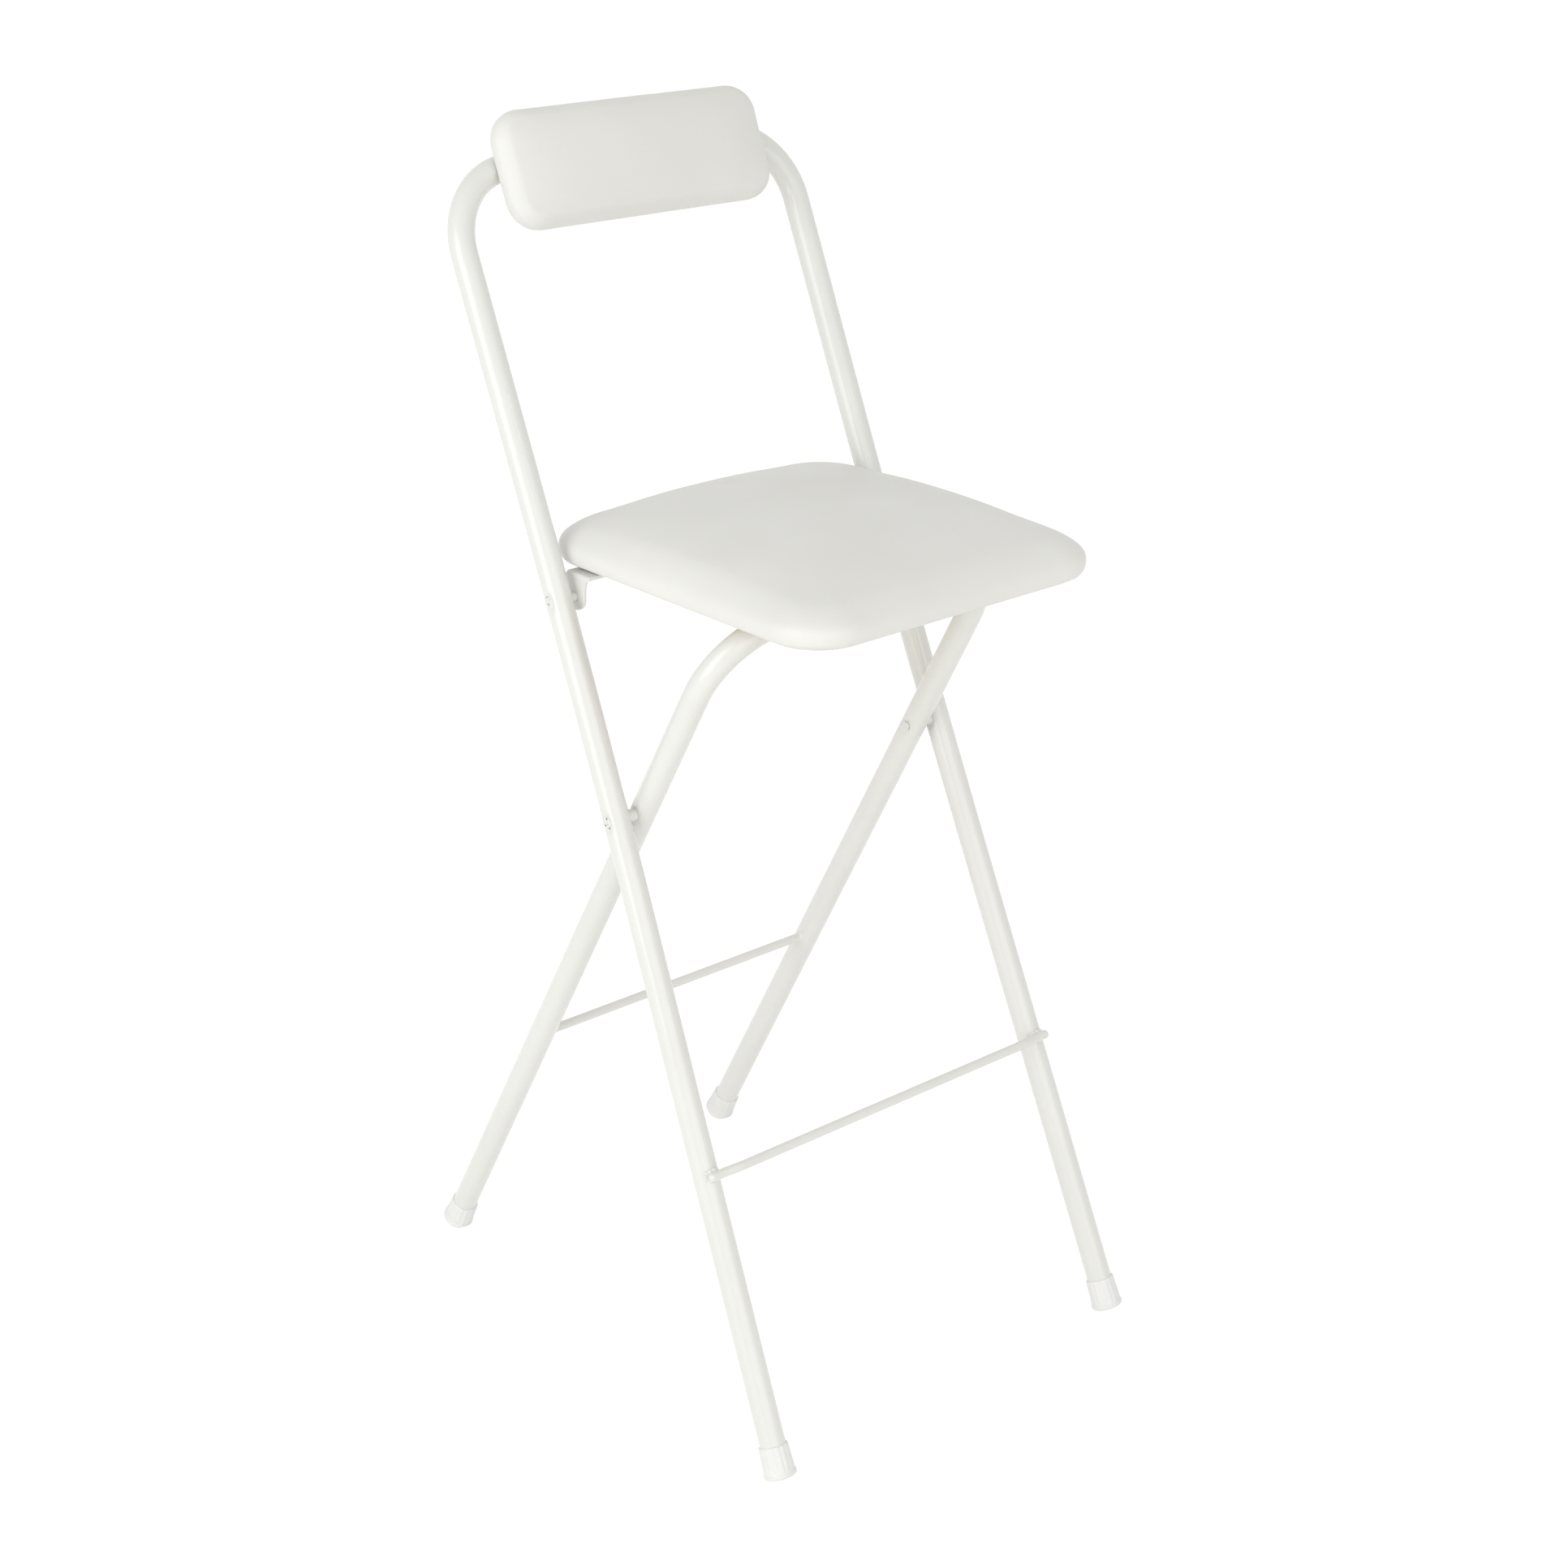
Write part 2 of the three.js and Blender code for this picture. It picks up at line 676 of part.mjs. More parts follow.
const hingeScrewPlaces = [];
const hookScrewPlaces = [];
for (const [side, sign] of [['left', -1], ['right', 1]]) {
  for (const [row, rowSign] of [['front', -1], ['rear', 1]]) {
    hingeScrewPlaces.push({
      name: `hinge_screw_${side}_${row}`,
      x: sign * hingeScrewX,
      y: hingeBarY + rowSign * hingeScrewPitch / 2,
    });
  }
  for (const [row, rowSign] of [['inner', -1], ['outer', 1]]) {
    hookScrewPlaces.push({
      name: `catch_screw_${side}_${row}`,
      x: sign * (hookSpacing / 2 + rowSign * hookScrewPitch / 2),
      y: hookBarY - tubeRadius - fitGap - hookThickness - hookFlange / 2,
    });
  }
}

const seatBoard = new THREE.ExtrudeGeometry(
  roundedRectangle(
    seatHalfWidth - seatBoardInset,
    seatHalfDepth - seatBoardInset,
    seatCornerRadius - seatBoardInset,
  ),
  { depth: seatBoardThickness, bevelEnabled: false, curveSegments: arcSteps },
);
seatBoard.translate(0, seatMiddleY, 0);
const drilledBoard = cut(
  seatBoard,
  ...[...hingeScrewPlaces, ...hookScrewPlaces].map((place) => screwHole(place.x, place.y)),
);
piece('seat_board', drilledBoard, board, seat).position.z = seatPivotDrop;

const seatCushion = cushion({
  halfX: seatHalfWidth,
  halfY: seatHalfDepth,
  radius: seatCornerRadius,
  edge: seatEdgeHeight,
  crown: seatCrown,
  boardInset: seatBoardInset,
  boardThickness: seatBoardThickness,
});
piece('seat_cushion', seatCushion, vinyl, seat).position.set(0, seatMiddleY, seatPivotDrop);

// Hinge bar: a flat strip under the board whose ends are bent down into tapered ears.
// It is the part of a bent channel that also lies inside the ear's outline seen from the side.
const barTop = seatPivotDrop - fitGap;
const earBottom = -earTipRadius;
const channel = new THREE.Shape();
channel.moveTo(-earOuterX, earBottom);
channel.lineTo(-earOuterX, barTop - hingeBendRadius);
channel.absarc(hingeBendRadius - earOuterX, barTop - hingeBendRadius, hingeBendRadius,
  2 * quarterTurn, quarterTurn, true);
channel.absarc(earOuterX - hingeBendRadius, barTop - hingeBendRadius, hingeBendRadius,
  quarterTurn, 0, true);
channel.lineTo(earOuterX, earBottom);
channel.lineTo(earOuterX - hingeBarThickness, earBottom);
channel.absarc(earOuterX - hingeBendRadius, barTop - hingeBendRadius,
  hingeBendRadius - hingeBarThickness, 0, quarterTurn);
channel.absarc(hingeBendRadius - earOuterX, barTop - hingeBendRadius,
  hingeBendRadius - hingeBarThickness, quarterTurn, 2 * quarterTurn);
channel.lineTo(hingeBarThickness - earOuterX, earBottom);
channel.closePath();
const channelSolid = new THREE.ExtrudeGeometry(channel, {
  depth: hingeBarWidth,
  bevelEnabled: false,
  curveSegments: arcSteps,
});
channelSolid.rotateX(quarterTurn);
channelSolid.translate(0, hingeBarY + hingeBarWidth / 2, 0);

const barHalf = hingeBarWidth / 2;
const barFront = hingeBarY - barHalf;
const barRear = hingeBarY + barHalf;
const neckTop = barTop - hingeBarThickness;
const tipFront = -earTipAhead - earTipRadius;
const tipRear = earTipRadius - earTipAhead;
const ear = new THREE.Shape();
ear.moveTo(barFront, barTop + overrun);
ear.lineTo(barFront, neckTop);
ear.quadraticCurveTo(tipFront, neckTop, tipFront, 0);
ear.absarc(-earTipAhead, 0, earTipRadius, 2 * quarterTurn, 4 * quarterTurn);
ear.quadraticCurveTo(tipRear, neckTop - earNeckRadius, barRear, neckTop);
ear.lineTo(barRear, barTop + overrun);
ear.closePath();
const earSolid = new THREE.ExtrudeGeometry(ear, {
  depth: 2 * (earOuterX + overrun),
  bevelEnabled: false,
  curveSegments: earSteps,
});
earSolid.rotateX(quarterTurn);
earSolid.rotateZ(quarterTurn);
earSolid.translate(-earOuterX - overrun, 0, 0);

const hingeBar = cut(
  keepInside(channelSolid, earSolid),
  rodAlongX(pinRadius + fitGap, -earOuterX - overrun, earOuterX + overrun, 0, 0),
  ...hingeScrewPlaces.map((place) => rodAlongZ(
    screwRadius + fitGap,
    barTop - hingeBarThickness - overrun,
    barTop + overrun,
    place.x,
    place.y,
  )),
);
piece('seat_hinge_bar', hingeBar, paint, seat);

// Catch hooks: a flange under the board, a web down the front of the top bar and a short lip
// below it. The bar leaves the hook backwards and down as the seat is lifted.
const hookBore = tubeRadius + fitGap;
const hookOuter = hookBore + hookThickness;
const hookCentreZ = topBarZ - seatPivotZ;
const hookTop = seatPivotDrop - fitGap;
const lipEnd = 2 * quarterTurn + hookLipAngle;
const hookShape = new THREE.Shape();
hookShape.moveTo(-hookOuter - hookFlange, hookTop);
hookShape.lineTo(-hookOuter - hookFlange, hookTop - hookThickness);
hookShape.lineTo(-hookOuter, hookTop - hookThickness);
hookShape.lineTo(-hookOuter, hookCentreZ);
hookShape.absarc(0, hookCentreZ, hookOuter, 2 * quarterTurn, lipEnd);
hookShape.absarc(0, hookCentreZ, hookBore, lipEnd, 2 * quarterTurn, true);
hookShape.lineTo(-hookBore, hookTop);
hookShape.closePath();

for (const [side, sign] of [['left', -1], ['right', 1]]) {
  const hook = new THREE.ExtrudeGeometry(hookShape, {
    depth: hookWidth,
    bevelEnabled: false,
    curveSegments: earSteps,
  });
  hook.rotateX(quarterTurn);
  hook.rotateZ(quarterTurn);
  hook.translate(sign * hookSpacing / 2 - hookWidth / 2, hookBarY, 0);
  const places = hookScrewPlaces.filter((place) => place.x * sign > 0);
  const drilled = cut(
    hook,
    ...places.map((place) => rodAlongZ(
      screwRadius + fitGap,
      hookTop - hookThickness - overrun,
      hookTop + overrun,
      place.x,
      place.y,
    )),
  );
  piece(`catch_hook_${side}`, drilled, steel, seat);
}

// Wood screws under the seat: a domed head below the sheet metal and a pointed shank in the board
function woodScrew(name, x, y, sheetThickness) {
  const headRadius = screwHeadDiameter / 2;
  const length = fitGap + sheetThickness + fitGap + screwBite;
  const screw = turned([
    ...domeOutline(headRadius, screwHeadHeight).map(([r, h]) => [r, -h]),
    [screwRadius, 0],
    [screwRadius, length - screwDiameter],
    [0, length],
  ]);
  screw.rotateX(quarterTurn);
  screw.translate(x, y, seatPivotDrop - fitGap - sheetThickness - fitGap);
  piece(name, screw, steel, seat);
}
for (const place of hingeScrewPlaces) {
  woodScrew(place.name, place.x, place.y, hingeBarThickness);
}
for (const place of hookScrewPlaces) {
  woodScrew(place.name, place.x, place.y, hookThickness);
}

// Back pad and its board, on the sitter's side of the top bar
const padBackY = -(tubeRadius + fitGap);
const padBoard = new THREE.ExtrudeGeometry(
  roundedRectangle(
    padWidth / 2 - padBoardInset,
    padHeight / 2 - padBoardInset,
    padCornerRadius - padBoardInset,
  ),
  { depth: padBoardThickness, bevelEnabled: false, curveSegments: arcSteps },
);
const backScrewZ = frontTopRise - padRise;
const drilledPadBoard = cut(
  padBoard,
  ...[-1, 1].map((sign) => rodAlongZ(
    backScrewRadius + fitGap,
    -overrun,
    backScrewBite + fitGap,
    sign * backScrewX,
    backScrewZ,
  )),
);
const backBoard = piece('back_board', drilledPadBoard, board, frontFrame);
backBoard.position.set(0, padBackY, padRise);
backBoard.rotation.x = quarterTurn;

const padCushion = cushion({
  halfX: padWidth / 2,
  halfY: padHeight / 2,
  radius: padCornerRadius,
  edge: padEdgeHeight,
  crown: padCrown,
  boardInset: padBoardInset,
  boardThickness: padBoardThickness,
});
const backPad = piece('back_pad', padCushion, vinyl, frontFrame);
backPad.position.set(0, padBackY, padRise);
backPad.rotation.x = quarterTurn;

// Back screws: a domed head behind the top bar and a shank through it into the board
for (const [side, sign] of [['left', -1], ['right', 1]]) {
  const headRadius = backScrewHeadDiameter / 2;
  const length = fitGap + tubeDiameter + fitGap + backScrewBite;
  const screw = turned([
    ...domeOutline(headRadius, backScrewHeadHeight).map(([r, h]) => [r, -h]),
    [backScrewRadius, 0],
    [backScrewRadius, length - backScrewDiameter],
    [0, length],
  ]);
  screw.rotateX(2 * quarterTurn);
  screw.translate(sign * backScrewX, tubeRadius + fitGap, frontTopRise);
  piece(`back_screw_${side}`, screw, steel, frontFrame);
}

// The origin is at the middle of the footprint, on the floor
stool.updateMatrixWorld(true);
const bounds = new THREE.Box3().setFromObject(stool, true);
stool.position.y = -(bounds.min.y + bounds.max.y) / 2;

export default stool;
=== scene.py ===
# %% [markdown]
# A folding bar stool, dressed around its frame.
# The frame file holds every hard part at its real size. This script keeps those sizes, and makes
# the surfaces that the eye sees: smooth tubes, weld beads, ribbed feet, rivets, pressed steel,
# plywood, and two cushions of vinyl over foam. Lengths are in metres, +Z is up, and the sitter
# faces -Y.

# %% Load the frame
import json
import math

import bpy
import numpy as np
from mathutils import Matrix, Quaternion, Vector


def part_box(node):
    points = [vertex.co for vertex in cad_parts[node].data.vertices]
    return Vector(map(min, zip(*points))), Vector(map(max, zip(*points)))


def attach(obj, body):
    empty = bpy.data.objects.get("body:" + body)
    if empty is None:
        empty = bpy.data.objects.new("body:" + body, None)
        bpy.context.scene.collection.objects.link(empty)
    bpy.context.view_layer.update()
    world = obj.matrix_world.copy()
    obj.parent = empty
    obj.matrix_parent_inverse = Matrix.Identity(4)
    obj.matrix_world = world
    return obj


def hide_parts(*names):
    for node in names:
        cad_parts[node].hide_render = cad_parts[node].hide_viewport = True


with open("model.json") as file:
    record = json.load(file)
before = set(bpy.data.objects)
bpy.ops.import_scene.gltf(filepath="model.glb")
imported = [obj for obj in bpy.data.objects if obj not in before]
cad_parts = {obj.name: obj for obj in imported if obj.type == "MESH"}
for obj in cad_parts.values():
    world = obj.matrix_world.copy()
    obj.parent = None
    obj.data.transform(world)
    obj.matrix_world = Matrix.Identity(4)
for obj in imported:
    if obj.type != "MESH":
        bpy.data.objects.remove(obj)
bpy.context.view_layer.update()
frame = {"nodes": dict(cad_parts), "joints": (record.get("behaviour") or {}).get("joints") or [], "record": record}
MM = 0.001
SIDES = (("left", -1), ("right", 1))


def add_object(name, data):
    """A new object at the origin, linked to the scene."""
    thing = bpy.data.objects.new(name, data)
    bpy.context.scene.collection.objects.link(thing)
    return thing


# %% [markdown]
# The camera comes first, because every choice after it is judged through it. It stands in front
# of the stool, to its left and a little above the seat. A long lens keeps the legs nearly
# parallel. The picture is square, so the focal length in pixels over the picture's width gives
# the lens for a sensor of any chosen width.

# %% The camera
PICTURE_WIDTH = 1932
FOCAL_PIXELS = 3541.33
SENSOR_WIDTH = 36
VIEW_AZIMUTH = math.radians(-40.66)
VIEW_ELEVATION = math.radians(22.42)
VIEW_ROLL = math.radians(-0.17)
VIEW_DISTANCE = 2424.24 * MM
VIEW_TARGET = Vector((0, -34.91 * MM, 493.24 * MM))

view_back = Vector((
    math.sin(VIEW_AZIMUTH) * math.cos(VIEW_ELEVATION),
    -math.cos(VIEW_AZIMUTH) * math.cos(VIEW_ELEVATION),
    math.sin(VIEW_ELEVATION),
))
camera_data = bpy.data.cameras.new("photo_camera")
camera_data.sensor_width = SENSOR_WIDTH
camera_data.lens = FOCAL_PIXELS / PICTURE_WIDTH * SENSOR_WIDTH
camera = add_object("photo_camera", camera_data)
camera.location = VIEW_TARGET + view_back * VIEW_DISTANCE
camera.rotation_mode = "QUATERNION"
camera.rotation_quaternion = (-view_back).to_track_quat("-Z", "Y") @ Quaternion((0, 0, 1), VIEW_ROLL)
bpy.context.scene.camera = camera
print("lens:", round(camera_data.lens, 2), "mm, camera at", [round(x, 3) for x in camera.location])

# %% [markdown]
# A white object on a white ground is shaped by light alone. One large soft lamp stands low on the
# stool's left, a weaker one fills from the front, and the world gives an even level from all
# round. Camera rays and mirror rays see plain white, so the ground is white in the picture and in
# the gloss of the paint, while the light on the stool stays at a plain level.

# %% World and lamps
WORLD_LEVEL = 0.66
WORLD_TINT = (1.0, 0.992, 0.96)
STOOL_MIDDLE = Vector((0, 0, 0.55))
# For each lamp: place, width, height and watts.
LAMPS = {
    "left_softbox": ((-2.7, -0.3, 1.4), 1.8, 2.2, 25.8),
    "front_fill": ((-0.9, -2.8, 1.15), 2.2, 1.8, 12),
    "edge_strip": ((0.25, -2.9, 1.2), 0.08, 2.3, 4),
}


def add_node(tree, kind, inputs=None, output=0, **settings):
    """Adds a shader node and gives back one of its outputs. An input is a plain value, or the
    output of another node, which is linked to it."""
    node = tree.nodes.new("ShaderNode" + kind)
    for name, value in settings.items():
        setattr(node, name, value)
    for key, value in (inputs or {}).items():
        if isinstance(value, bpy.types.NodeSocket):
            tree.links.new(value, node.inputs[key])
        else:
            node.inputs[key].default_value = value
    return node.outputs[output]


def show_lit_and_white(owner, kind, make_shaders):
    """The owner's surface from two shaders: the second, white one where the ray comes from the
    camera or a mirror, and the first one for all other light."""
    owner.use_nodes = True
    tree = owner.node_tree
    tree.nodes.clear()
    lit, white = make_shaders(tree)
    ray = tree.nodes.new("ShaderNodeLightPath").outputs
    mirror = add_node(
        tree, "Math", {0: ray["Is Glossy Ray"], 1: ray["Is Transmission Ray"]}, operation="MAXIMUM",
    )
    seen = add_node(tree, "Math", {0: ray["Is Camera Ray"], 1: mirror}, operation="MAXIMUM")
    mix = add_node(tree, "MixShader", {0: seen, 1: lit, 2: white})
    tree.links.new(mix, tree.nodes.new("ShaderNodeOutput" + kind).inputs["Surface"])


def world_shaders(tree):
    """An even warm white level for the light on the object, and plain white."""
    level = add_node(tree, "Background", {"Color": (*WORLD_TINT, 1), "Strength": WORLD_LEVEL})
    return level, add_node(tree, "Background", {"Color": (1, 1, 1, 1), "Strength": 1})


world = bpy.data.worlds.new("soft_white_room")
show_lit_and_white(world, "World", world_shaders)
bpy.context.scene.world = world
bpy.context.scene.view_settings.view_transform = "Standard"
for name, (place, width, height, watts) in LAMPS.items():
    data = bpy.data.lights.new(name, "AREA")
    data.shape = "RECTANGLE"
    data.size, data.size_y, data.energy = width, height, watts
    lamp = add_object(name, data)
    lamp.location = place
    lamp.rotation_euler = (STOOL_MIDDLE - Vector(place)).to_track_quat("-Z", "Y").to_euler()
print("lamps:", list(LAMPS))

# %% [markdown]
# The floor is a wide pale plane. Its own diffuse light would leave it a little grey, so camera
# rays also get a share of plain white emission: where nothing stands in the light the sum is
# white, and under the feet the missing light still shows as a faint shadow.

# %% The floor
FLOOR_HALF = 30
FLOOR_COLOUR = (0.91, 0.906, 0.895)
FLOOR_LIFT = 0.44


def floor_shaders(tree):
    """A pale diffuse floor, and the same floor lifted towards white."""
    diffuse = add_node(tree, "BsdfDiffuse", {"Color": (*FLOOR_COLOUR, 1)})
    lift = add_node(tree, "Emission", {"Strength": FLOOR_LIFT})
    return diffuse, add_node(tree, "AddShader", {0: diffuse, 1: lift})


corners = np.array([(-1, -1, 0), (1, -1, 0), (1, 1, 0), (-1, 1, 0)]) * FLOOR_HALF
floor_mesh = bpy.data.meshes.new("floor")
floor_mesh.from_pydata(corners.tolist(), [], [(0, 1, 2, 3)])
floor_mesh.materials.append(bpy.data.materials.new("pale_floor"))
show_lit_and_white(floor_mesh.materials[0], "Material", floor_shaders)
floor = add_object("floor", floor_mesh)
print("floor half width:", FLOOR_HALF)

# %% [markdown]
# Every finish is worked out from Object coordinates, which are metres on the real stool, so a
# noise scale of 900 makes bumps about a millimetre apart. One helper builds a material from
# layers: a slow change of tone, a change of gloss, and bumps that lie over one another.

# %% Helpers for finishes
def noise(scale, detail=2, stretch=(1, 1, 1), output="Fac"):
    """Recipe of a noise with one feature per 1/scale metres, after stretching the coordinates."""
    def build(tree):
        place = add_node(tree, "TexCoord", output="Object")
        place = add_node(tree, "Mapping", {"Scale": stretch, "Vector": place})
        return add_node(tree, "TexNoise", {"Scale": scale, "Detail": detail, "Vector": place}, output)
    return build


def make_finish(name, roughness, tone, gloss, bumps, **settings):
    """A material from layers. Tone is (recipe, low, high, start, end): the base colour runs from
    low to high as the recipe runs from start to end. Gloss is (recipe, low, high) and drives the
    roughness. Each bump is (recipe, depth in mm, strength) and lies over the one before."""
    material = bpy.data.materials.new(name)
    material.use_nodes = True
    tree = material.node_tree
    shader = tree.nodes["Principled BSDF"].inputs
    for socket, value in dict(settings, Roughness=roughness).items():
        shader[socket.replace("_", " ")].default_value = value
    recipe, *colours, start, end = tone
    ramp = tree.nodes.new("ShaderNodeValToRGB")
    for element, position, colour in zip(ramp.color_ramp.elements, (start, end), colours):
        element.position, element.color = position, (*colour, 1)
    tree.links.new(recipe(tree), ramp.inputs["Fac"])
    tree.links.new(ramp.outputs["Color"], shader["Base Color"])
    recipe, low, high = gloss
    spread = add_node(tree, "MapRange", {"Value": recipe(tree), "To Min": low, "To Max": high})
    tree.links.new(spread, shader["Roughness"])
    below = {}
    for recipe, depth, strength in bumps:
        layer = {"Height": recipe(tree), "Distance": depth * MM, "Strength": strength, **below}
        below = {"Normal": add_node(tree, "Bump", layer)}
    tree.links.new(below["Normal"], shader["Normal"])
    print("finish:", name)
    return material


# %% [markdown]
# Powder coat is sprayed on as dust and melted in an oven, so it flows into a gloss skin that is
# never quite flat: it has long shallow waves, like orange peel, about two millimetres apart. The
# white is warm and nearly even. The same recipe, a little duller, serves the painted rivets,
# with small dark specks of painted shade that stand for the shadow in the crevices round their heads.

# %% Paint
# Painted shade: the colour of the dark specks that stand for the shadow in the crevices round the rivet heads.
CREVICE_SHADE_COLOUR = (0.07, 0.065, 0.06, 1)


def paint_finish(name, low, high, roughness):
    """Warm white gloss: two close whites, shallow waves over 2 mm apart and fine dust nibs."""
    return make_finish(
        name, roughness, (noise(14, 3), low, high, 0.35, 0.65),
        (noise(60), roughness - 0.03, roughness + 0.03),
        [(noise(420, 1), 0.05, 0.1), (noise(1500), 0.02, 0.12)],
        IOR=1.5, Coat_Weight=0.6, Coat_Roughness=0.07,
    )


def add_painted_crevice_shade(material):
    """Dark specks where a noise of one feature per 2.5 mm is high: painted shade for the shadow in the crevices
    round a rivet's head.
    """
    tree = material.node_tree
    base = tree.nodes["Principled BSDF"].inputs["Base Color"]
    shade_speck = {"Value": noise(400, 1)(tree), "From Min": 0.625, "From Max": 0.655}
    layers = {
        "Factor": add_node(tree, "MapRange", shade_speck), "A": base.links[0].from_socket, "B": CREVICE_SHADE_COLOUR,
    }
    tree.links.new(add_node(tree, "Mix", layers, "Result", data_type="RGBA"), base)


frame_paint = paint_finish("frame_paint", (0.808, 0.811, 0.786), (0.828, 0.831, 0.806), 0.33)
rivet_paint = paint_finish("rivet_paint", (0.788, 0.79, 0.767), (0.808, 0.81, 0.787), 0.36)
# The rivets get specks of painted shade, placed by noise.
add_painted_crevice_shade(rivet_paint)

# %% [markdown]
# The cushions are covered in white vinyl: plastic on cloth, printed with a faint leather grain of
# cells about a millimetre across. The grain is a cell pattern whose borders are pressed in, and
# slow changes of tone and gloss keep the large top from looking like paper.

# %% Vinyl
def leather_cells(tree):
    """Cells 1.1 mm across with pressed borders: the distance to the nearest border, with the
    coordinates pushed about by up to 0.6 mm."""
    place = add_node(tree, "TexCoord", output="Object")
    push = {0: noise(300, output="Color")(tree), 1: (0.6 * MM,) * 3, 2: place}
    bent = add_node(tree, "VectorMath", push, operation="MULTIPLY_ADD")
    cells = add_node(tree, "TexVoronoi", {"Scale": 900, "Vector": bent}, feature="DISTANCE_TO_EDGE")
    return add_node(tree, "MapRange", {"Value": cells, "From Max": 0.25})


white_vinyl = make_finish(
    "white_vinyl", 0.45, (noise(9, 4), (0.824, 0.824, 0.797), (0.864, 0.864, 0.842), 0.3, 0.7),
    (noise(25, 3), 0.4, 0.52), [(leather_cells, 0.08, 0.35), (noise(2600), 0.02, 0.3)],
    IOR=1.47, Sheen_Weight=0.06, Sheen_Roughness=0.5,
)

# %% [markdown]
# The foot caps are moulded in a harder, cooler white plastic with a satin skin. The boards under
# the cushions are plain plywood, pale, its noise stretched along the grain. Screws, hooks and
# staples are zinc plated steel, which is a metal shader with a cloudy gloss and fine drawn lines.

# %% Cap plastic, plywood and zinc
cap_plastic = make_finish(
    "cap_plastic", 0.45, (noise(90, 3), (0.86, 0.865, 0.86), (0.89, 0.892, 0.89), 0.35, 0.65),
    (noise(200), 0.38, 0.52), [(noise(1800, 3), 0.03, 0.3)], IOR=1.49,
)
wood_grain = noise(240, 8, (0.04, 1, 1))
raw_plywood = make_finish(
    "raw_plywood", 0.75, (wood_grain, (0.46, 0.31, 0.16), (0.72, 0.56, 0.36), 0.3, 0.72),
    (wood_grain, 0.65, 0.85), [(noise(700, 3, (0.06, 1, 1)), 0.15, 0.5)], IOR=1.45,
)
zinc_plate = make_finish(
    "zinc_plate", 0.3, (noise(260, 4), (0.56, 0.57, 0.58), (0.76, 0.77, 0.78), 0.35, 0.65),
    (noise(500, 3), 0.22, 0.42), [(noise(1400, 2, (1, 0.2, 1)), 0.02, 0.4)], Metallic=1.0,
)
SLOT_FINISH = {
    "frame_paint": frame_paint, "rivet_paint": rivet_paint, "vinyl": white_vinyl,
    "board": raw_plywood, "steel": zinc_plate, "cap_plastic": cap_plastic,
}
print("slots:", list(SLOT_FINISH))

# %% [markdown]
# Nearly every piece here is a surface on a grid: rows of points, each row a closed ring of the
# same length. The helpers below turn such grids into one mesh in one step, and close each open
# end by a point in its middle. Each piece then gets the finish of its slot and its body, and the
# nodes that it stands for are hidden.

# %% Grids to mesh
def xyz(*values):
    """Points from arrays of x, y and z, spread to one shape."""
    return np.stack(np.broadcast_arrays(*values), -1)


def apart(points):
    """Arrays of x, y and z from points."""
    return np.moveaxis(np.asarray(points, float), -1, 0)


def circle_angles(count):
    """Angles evenly round a circle."""
    return np.linspace(0, 2 * np.pi, count, endpoint=False)


def part_volume(corners, faces):
    """Sum over the triangles of a . (b x c) / 6, which is positive when the faces point outwards."""
    fans = [(face[0], face[k], face[k + 1]) for face in faces for k in range(1, len(face) - 1)]
    a, b, c = np.moveaxis(np.asarray(corners)[np.array(fans)], 1, 0)
    return float(np.einsum("ij,ij->i", a, np.cross(b, c)).sum() / 6)


def grid_part(points):
    """Corners and faces of points[row, column, xyz]: a quad for each cell, and a fan at each end."""
    rows, columns = points.shape[:2]
    ring = np.arange(rows * columns).reshape(rows, columns)
    ahead = np.roll(ring, -1, axis=1)
    faces = np.stack([ring[:-1], ahead[:-1], ahead[1:], ring[1:]], -1).reshape(-1, 4).tolist()
    hub = np.full(columns, rows * columns)
    faces += np.stack([ahead[0], ring[0], hub], -1).tolist()
    faces += np.stack([ring[-1], ahead[-1], hub + 1], -1).tolist()
    corners = np.concatenate([points.reshape(-1, 3), points[[0, -1]].mean(1)])
    if part_volume(corners, faces) < 0:
        faces = [face[::-1] for face in faces]
    return corners, faces


def make_piece(name, parts, sharp=None):
    """One object from closed parts, smooth but for edges that turn by over `sharp` degrees."""
    starts = np.cumsum([0] + [len(corners) for corners, _ in parts]).tolist()
    corners = np.concatenate([corners for corners, _ in parts])
    faces = [[i + start for i in face] for start, (_, part) in zip(starts, parts) for face in part]
    mesh = bpy.data.meshes.new(name)
    mesh.from_pydata(corners.tolist(), [], faces)
    mesh.update()
    mesh.shade_smooth()
    if sharp is not None:
        mesh.set_sharp_from_angle(angle=math.radians(sharp))
    return add_object(name, mesh)


def dress(piece, body, slot, *nodes):
    """Gives a piece the finish of its slot and the body that it rides on, and hides the nodes it stands for."""
    piece.data.materials.clear()
    piece.data.materials.append(SLOT_FINISH[slot])
    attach(piece, body)
    if nodes:
        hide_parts(*nodes)
    print(piece.name, "faces:", len(piece.data.polygons))


def add_piece(name, points, body, slot, *nodes, sharp=None):
    """A dressed piece from one grid of points, or from a list of them."""
    grids = points if isinstance(points, list) else [points]
    dress(make_piece(name, [grid_part(grid) for grid in grids], sharp), body, slot, *nodes)


# %% [markdown]
# The stool has two leaning planes, one for each bent tube, and the scissor pivot is in both. The
# pivots come from the frame's joints. The front plane runs through both pivots, which gives its
# lean, and the rear plane's lean is what is left of the scissor's travel, because the two planes
# lie in one another when the stool is folded.

# %% Planes and pivots
joints = {joint["name"]: joint for joint in frame["joints"]}
scissor, hinge = (np.array(joints[name]["pos_m"]) for name in ("rear_frame_fold", "seat_fold"))
front_lean = math.atan2(hinge[1] - scissor[1], hinge[2] - scissor[2])
rear_lean = math.radians(joints["rear_frame_fold"]["range_deg"][1]) - front_lean
scissor_rise = scissor[2] / math.cos(front_lean)
hinge_rise = scissor_rise + np.linalg.norm(hinge - scissor)


